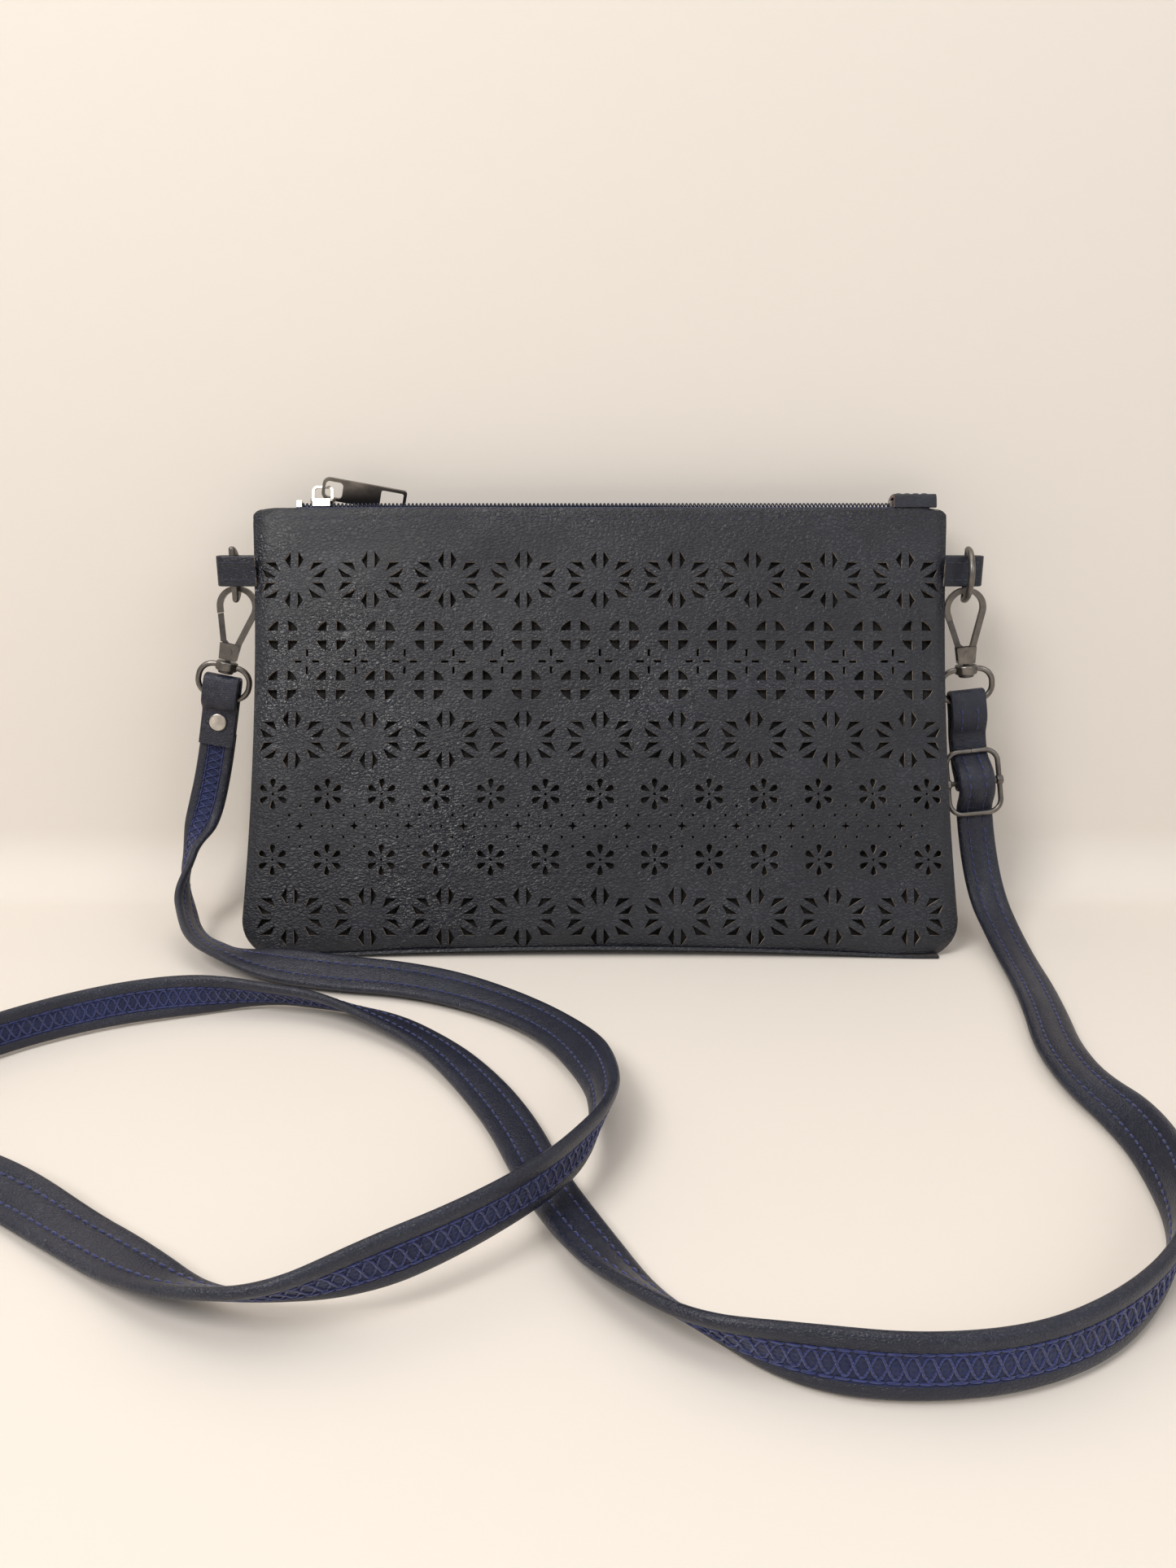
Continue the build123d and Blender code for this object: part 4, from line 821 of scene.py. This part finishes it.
def shell_piece(name, grid, wall, materials, slot):
    """Thick shell from a grid: an inner copy stepped in along the grid's normals, joined round its rim."""
    du = np.gradient(grid, axis=1)
    dv = np.gradient(grid, axis=0)
    normal = unit(np.cross(dv, du))
    middle = grid[len(grid) // 2, grid.shape[1] // 2]
    if normal[len(grid) // 2, grid.shape[1] // 2, 1] * (middle[1] - 5) > 0:
        normal = -normal
    inner = grid + normal * wall
    rows, cols = grid.shape[:2]
    n = rows * cols
    outer_faces = grid_faces(rows, cols)
    inner_faces = [f[::-1] for f in grid_faces(rows, cols, start=n)]
    far = (rows - 1) * cols + np.arange(cols - 2, -1, -1)
    loop = np.concatenate([np.arange(cols), np.arange(1, rows) * cols + cols - 1, far,
                           np.arange(rows - 2, 0, -1) * cols])
    rim = np.stack([loop, np.roll(loop, -1), np.roll(loop, -1) + n, loop + n], -1).tolist()
    index = [0] * len(outer_faces) + [1] * len(inner_faces) + [0] * len(rim)
    points = stand(np.vstack([grid.reshape(-1, 3), inner.reshape(-1, 3)]))
    points[:, 2] = np.maximum(points[:, 2], 0.02)
    return write_mesh(name, points, outer_faces + inner_faces + rim, materials, index=index, slot=slot,
                      close=True, sharp=50)


def build_back():
    """Soft back and floor of the purse, its cloth lining, and the side seams."""
    back = shell_piece("back_leather", back_surface(), 1.1, [back_leather, flesh_side], "panel_leather")
    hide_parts("back_panel")
    lining = shell_piece("back_lining_cloth", back_surface(inset=1.5, wavy=0.6), 0.3, [lining_cloth] * 2,
                         "lining_cloth")
    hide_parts("back_lining")
    s = np.arange(168.0, 10.0, -4.4)
    for side, label in ((-1, "left"), (1, "right")):
        x = side * (side_half(s) - 0.15)
        at = stand(np.stack([x, np.full_like(s, 2.75), s], -1))
        ahead = stand(np.stack([x, np.full_like(s, 2.75), s + 1], -1)) - at
        out = np.tile([side, 0.45, 0.0], (len(s), 1))
        stitches(f"side_seam_stitches_{label}", at, ahead, out, 2.6, 0.3, hem_thread, lift=0.1)


build_back()


# ================================================================ zip
def ribbon_section(line, thickness):
    """Closed section of a thin ribbon: its middle line pushed out by half the thickness each way."""
    t = unit(np.gradient(line, axis=0))
    n = np.stack([-t[:, 1], t[:, 0]], -1) * thickness / 2
    return np.vstack([line + n, (line - n)[::-1]])


def extruded(name, section, xs, materials, slot=None, sway=None):
    """A closed (y, s) section carried along x in the purse's plane, with flat ends."""
    rows = np.zeros((len(xs), len(section), 3))
    rows[:, :, 0] = np.asarray(xs)[:, None]
    rows[:, :, 1:] = section[None]
    if sway is not None:
        rows[:, :, 1] += sway(rows[:, :, 0], rows[:, :, 2])
    m, n = rows.shape[:2]
    faces = capped_faces(m, n)
    index = [0] * (len(faces) - 2) + [len(materials) - 1] * 2
    return write_mesh(name, stand(rows), faces, materials, index=index, slot=slot, close=True)


def coil_line(start, end, centre, height, reach, rise, pitch=1.5, turn_points=9, flip=1):
    """Wound coil: (x0 + pitch q / 2pi, y + reach cos q, s + rise sin q)."""
    q = np.arange(0, (end - start) / pitch * 2 * pi, 2 * pi / turn_points)
    x = start + pitch * q / 2 / pi
    return np.stack([x, centre + flip * reach * np.cos(q), height + rise * np.sin(q)], -1)


def build_zip():
    """Woven tapes, wound nylon coils, metal stops and the leather tab over the closed end."""
    xs = np.linspace(ZIP_START, ZIP_END, 93)
    front = [(2.35, 163.4), (2.35, 168.0), (2.3, 170.9), (2.6, 171.8), (3.3, 171.86), (4.55, 171.86)]
    front = ribbon_section(bent_line(front, 16), TAPE_THICKNESS)
    front_tape = extruded("zip_tape_front", front, xs, [zip_tape], "zip_tape")
    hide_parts("zipper_tape_front")
    back = [(8.9, 163.4), (8.9, 167.5), (8.85, 170.9), (8.4, 171.8), (7.4, 171.86), (6.25, 171.86)]
    back = ribbon_section(bent_line(back, 16), TAPE_THICKNESS)

    def follow(x, s):
        """Towards its ends the back tape closes in with the narrowing mouth."""
        room = plan_limit(x) - 2.6
        return np.minimum(room - 9.2, 0) * np.clip((172 - s) / 4, 0, 1)

    back_tape = extruded("zip_tape_back", back, xs, [zip_tape], "zip_tape", sway=follow)
    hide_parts("zipper_tape_back")
    for name, centre, flip, node in (("zip_coil_front_wound", COIL_FRONT, 1, "zipper_coil_front"),
                                     ("zip_coil_back_wound", COIL_BACK, -1, "zipper_coil_back")):
        line = coil_line(ZIP_START + 0.4, ZIP_END - 0.4, centre, COIL_HEIGHT, COIL_REACH, COIL_RISE,
                         flip=flip)
        coil = tube(name, stand(line), COIL_WIRE, zip_nylon, up=(1, 0.02, 0.01), sides=6, slot="zip_coil")
        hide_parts(node)
    tab = bent_line([(0.5, 171.2), (0.45, 173.2), (0.6, 175.6), (2.0, 176.3), (5.4, 176.5), (8.2, 176.2),
                     (9.5, 175.2), (9.7, 173.0), (9.6, 170.8)], 26)
    xs = np.concatenate([[112.0, 112.3], np.linspace(113, 127, 9), [127.7, 128.0]])
    section = ribbon_section(tab, TAB_THICKNESS)
    end_tab = extruded("zip_end_tab_leather", section, xs, [trim_leather, pink_edge], "trim_leather",
                       sway=lambda x, s: 0.15 * np.sin(x / 2.1) * np.clip((s - 172) / 4, 0, 1))
    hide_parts("zip_end_tab")
    x = np.arange(114.2, 127.0, 3.3)
    seam = stand(np.stack([x, np.full_like(x, 2.6), np.full_like(x, 176.95)], -1))
    ahead = np.tile([1.0, 0, 0], (len(x), 1))
    upward = np.tile([0, 0, 1.0], (len(x), 1))
    stitches("zip_end_tab_stitches", seam, ahead, upward, 2.4, 0.26, hem_thread, lift=0.1)
    for node, finish in (("zip_pull", gunmetal), ("zip_slider", nickel), ("zip_stops", nickel)):
        repaint(node, finish)


def repaint(node, finish):
    """Give a carried-over part its finish."""
    mesh = nodes[node].data
    mesh.materials.clear()
    mesh.materials.append(finish)


build_zip()


# ================================================================ side loops and hardware
TAB_SEAT_Y, TAB_SEAT_Z = 13.5663, 138.928


def build_side_tabs():
    """Folded leather loops on the side seams, each with two rows of stitches and a turned end."""
    for side, label in ((-1, "left"), (1, "right")):
        back, front = 2.05, -2.05
        line = bent_line([(130.4, back), (133.5, back), (141.0, back + 0.1), (144.2, back - 0.1),
                          (145.0, 0.0), (144.2, front + 0.1), (141.0, front - 0.1), (133.5, front),
                          (130.4, front)], 34)
        path = np.stack([side * line[:, 0], TAB_SEAT_Y + line[:, 1], np.full(len(line), TAB_SEAT_Z)], -1)
        t = unit(np.gradient(path, axis=0))
        out = np.stack([t[:, 1], -t[:, 0], np.zeros(len(t))], -1) * side
        from_middle = path - (side * 138, TAB_SEAT_Y, TAB_SEAT_Z)
        out = out * np.sign(np.sum(out * from_middle, -1, keepdims=True) + 1e-9)
        tab = band(f"side_tab_leather_{label}", path, out, strip_profile(11.4, TAB_THICKNESS, 0.42),
                   [trim_leather, raw_edge], slot="trim_leather")
        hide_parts(f"side_tab_{label}")
        x = np.arange(132.6, 143.0, 3.1) * side
        rows = []
        for level in (-3.2, 3.2):
            for face in (-1, 1):
                y = np.full_like(x, TAB_SEAT_Y + face * 2.72)
                rows.append(np.stack([x, y, np.full_like(x, TAB_SEAT_Z + level)], -1))
        at = np.vstack(rows)
        out = np.zeros_like(at)
        out[:, 1] = np.sign(at[:, 1] - TAB_SEAT_Y)
        ahead = np.tile([1.0, 0, 0], (len(at), 1))
        stitches(f"side_tab_stitches_{label}", at, ahead, out, 2.3, 0.24, hem_thread, lift=0.08)


build_side_tabs()
for part in ("d_ring", "hook_frame", "swivel_eye"):
    for label in ("left", "right"):
        repaint(f"{part}_{label}", gunmetal)
for part in ("hook_gate", "swivel_stud"):
    for label in ("left", "right"):
        repaint(f"{part}_{label}", dark_gunmetal)
for label in ("left", "right"):
    repaint(f"gate_rivet_{label}", gunmetal)
    repaint(f"gate_spring_{label}", spring_steel)
repaint("buckle_frame", gunmetal)
repaint("buckle_bar", gunmetal)
repaint("strap_rivet", nickel)


# ================================================================ strap ends
def hanging_frame(origin, lean, outward):
    """Axes along something that hangs: z up it, y to its back, leant outward and forward by degrees."""
    up = unit(np.array([-outward * tan(radians(lean[0])), tan(radians(lean[1])), 1.0]))
    across = unit(np.cross([0, 1, 0], up))
    return np.array(origin), across, np.cross(up, across), up


def placed(hang, line):
    """(depth, height) of a side view to the frame."""
    origin, _, deep, up = hang
    return origin + line[:, :1] * deep + line[:, 1:] * up


def folded_band(name, hang, corners, count, profile, replaced):
    """Leather strip along a side view: a bent line over set corners, its face to the outside of the fold."""
    line = bent_line(corners, count)
    t = unit(np.gradient(line, axis=0))
    normal = np.stack([-t[:, 1], t[:, 0]], -1)
    path = placed(hang, line)
    _, _, deep, up = hang
    normals = normal[:, :1] * deep + normal[:, 1:] * up
    made = band(name, path, normals, profile, [strap_leather, raw_edge], slot="strap_leather")
    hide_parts(replaced)
    return made, line, normal


def fold_stitches(name, hang, line, normal, start, end, offset):
    """Two rows of stitches on the outer face of a fold, between two distances along it."""
    at = np.arange(start, end, STITCH_PITCH)
    _, across, deep, up = hang
    centre = placed(hang, along(line, at))
    n2 = along(line, at, normal)
    n = n2[:, :1] * deep + n2[:, 1:] * up
    t2 = along(line, at, unit(np.gradient(line, axis=0)))
    t = t2[:, :1] * deep + t2[:, 1:] * up
    rows = np.vstack([centre + across * side * SEAM_OFFSET + n * offset for side in (1, -1)])
    return stitches(name, rows, np.tile(t, (2, 1)), np.tile(n, (2, 1)), 2.3, 0.3, strap_thread, lift=0.1)


def build_strap_ends():
    """Adjuster side: fold over the eye, buckle weave. Other side: riveted fold."""
    right = hanging_frame((142.81, 10.673, 89.354), (6.3, 12.0), 1)
    left = hanging_frame((-148.293, 14.018, 90.306), (11.0, 2.0), -1)
    pieces = []
    adjuster, line, normal = folded_band(
        "adjuster_leather", right,
        [(1.9, -15.2), (1.9, -13.0), (-1.0, -9.6), (-2.6, -6.6), (-2.68, -1.5), (-2.6, 1.6), (-1.9, 3.35),
         (0.0, 3.75), (1.9, 3.35), (2.6, 1.6), (2.7, -4.0), (3.6, -8.5), (4.95, -12.8), (5.0, -20.0),
         (4.2, -26.0), (2.3, -29.6), (2.1, -32.2), (1.6, -34.2), (0, -34.4), (-1.6, -34.2), (-2.1, -32.2),
         (-1.9, -30.6)], 90, strip_profile(13.6, FOLD_THICKNESS, 0.45), "adjuster_fold")
    pieces.append(adjuster)
    pieces.append(fold_stitches("adjuster_stitches", right, line, normal, 5.5, 13.5, 0.78))
    weave, line, normal = folded_band(
        "buckle_weave_leather", right,
        [(2.65, -48.85), (2.65, -46.0), (2.65, -43.4), (1.2, -40.6), (-2.6, -37.2), (-4.4, -34.0),
         (-4.4, -32.0), (-4.4, -30.0), (-2.6, -26.8), (1.2, -23.4), (2.65, -20.6), (2.65, -18.0),
         (2.65, -15.15)], 70, strap_profile(), "strap_weave")
    pieces.append(weave)
    pieces.append(fold_stitches("buckle_weave_stitches", right, line, normal, 2.0, 35.0, FACE_SEAM_RISE))
    fold, _, _ = folded_band(
        "strap_end_leather", left,
        [(2.65, -15.0), (2.65, -8.0), (2.65, 0.5), (2.65, 5.0), (2.3, 7.2), (1.4, 7.85), (0.0, 8.0),
         (-1.4, 7.85), (-2.3, 7.2), (-2.65, 5.0), (-2.65, -0.5), (-1.9, -3.4), (0.6, -5.2), (1.13, -7.5),
         (1.13, -13.0), (1.13, -20.0)], 80, strip_profile(13.8, FOLD_THICKNESS, 0.45), "strap_end_fold")
    pieces.append(fold)
    return pieces


end_pieces = build_strap_ends()
cord_nodes = ["strap_rivet", "buckle_frame", "buckle_bar"]
cord_parts = ("swivel_eye", "swivel_stud", "hook_frame", "gate_rivet", "hook_gate")
cord_nodes += [f"{part}_{label}" for label in ("left", "right") for part in cord_parts]


# ================================================================ stage and light
def stage_finish(name, colour):
    """Pale painted surface, very slightly uneven, seen from its front only."""
    f = Finish(name, colour, 0.75)
    f.relief(f.noise(60.0, 2.0), 0.0004, 0.3)
    f.drive("Roughness", f.span(f.noise(9.0), 0.3, 0.7, 0.65, 0.8))
    f.drive("Base Color", f.blend(f.noise(3.0), tuple(c * 0.985 for c in colour), colour))
    facing = f.node("ShaderNodeNewGeometry").outputs["Backfacing"]
    clear = f.node("ShaderNodeBsdfTransparent").outputs[0]
    mix = f.node("ShaderNodeMixShader", i0=facing, i1=f.shader.outputs[0], i2=clear)
    output = f.tree.nodes["Material Output"]
    f.tree.links.new(mix.outputs[0], output.inputs["Surface"])
    return f.material


STAGE_COLOUR = (0.80, 0.745, 0.685)


def build_stage():
    """Floor that turns up into a wall close behind the purse: a line of (y, z) carried along x."""
    q = np.linspace(0, pi / 2, 10)
    radius = 26.0
    wall_y = 46.0
    turn = np.stack([wall_y - radius + radius * np.sin(q), radius - radius * np.cos(q)], -1)
    line = np.vstack([[(-2600.0, 0.0), (-600.0, 0.0)], turn, [(wall_y, 300.0), (wall_y, 1500.0)]])
    xs = np.array([-2600.0, 0.0, 2600.0])
    rows = np.zeros((len(line), 3, 3))
    rows[:, :, 0] = xs[None]
    rows[:, :, 1:] = line[:, None]
    mesh = bpy.data.meshes.new("backdrop")
    mesh.from_pydata((rows.reshape(-1, 3) * MM - (0, 0, 0.0001)).tolist(), [], grid_faces(len(line), 3))
    mesh.materials.append(stage_finish("backdrop_paint", STAGE_COLOUR))
    mesh.shade_smooth()
    backdrop = bpy.data.objects.new("backdrop", mesh)
    bpy.context.scene.collection.objects.link(backdrop)
    rear = bpy.data.meshes.new("rear_floor")
    corners = [(-2.6, 0.0, -0.0003), (2.6, 0.0, -0.0003), (2.6, 2.6, -0.0003), (-2.6, 2.6, -0.0003)]
    rear.from_pydata(corners, [], [(0, 1, 2, 3)])
    rear.materials.append(stage_finish("rear_floor_paint", STAGE_COLOUR))
    floor = bpy.data.objects.new("rear_floor", rear)
    bpy.context.scene.collection.objects.link(floor)


def lamp(name, place, target, size, power, colour):
    """Square soft light aimed at a point."""
    data = bpy.data.lights.new(name, "AREA")
    data.shape = "SQUARE"
    data.size = size
    data.energy = power
    data.color = colour
    light = bpy.data.objects.new(name, data)
    light.location = place
    light.rotation_euler = (Vector(target) - Vector(place)).to_track_quat("-Z", "Y").to_euler()
    bpy.context.scene.collection.objects.link(light)


def build_light():
    """A key from the upper left front, a weak fill from the right, and an even pale world."""
    lamp("key", (-0.55, -0.75, 0.95), (0.0, -0.02, 0.06), 0.5, 9.3, (1.0, 0.97, 0.93))
    lamp("fill", (0.7, -0.7, 0.6), (0.0, 0.0, 0.06), 0.6, 2.4, (0.97, 0.98, 1.0))
    lamp("top", (0.0, -0.15, 1.1), (0.0, -0.05, 0.0), 0.7, 3.0, (1.0, 0.98, 0.95))
    world = bpy.data.worlds.new("studio")
    bpy.context.scene.world = world
    world.use_nodes = True
    sky = world.node_tree.nodes["Background"]
    sky.inputs["Color"].default_value = (1.0, 0.98, 0.955, 1)
    sky.inputs["Strength"].default_value = 0.27


build_stage()
build_light()
bpy.context.scene.view_settings.view_transform = "Standard"
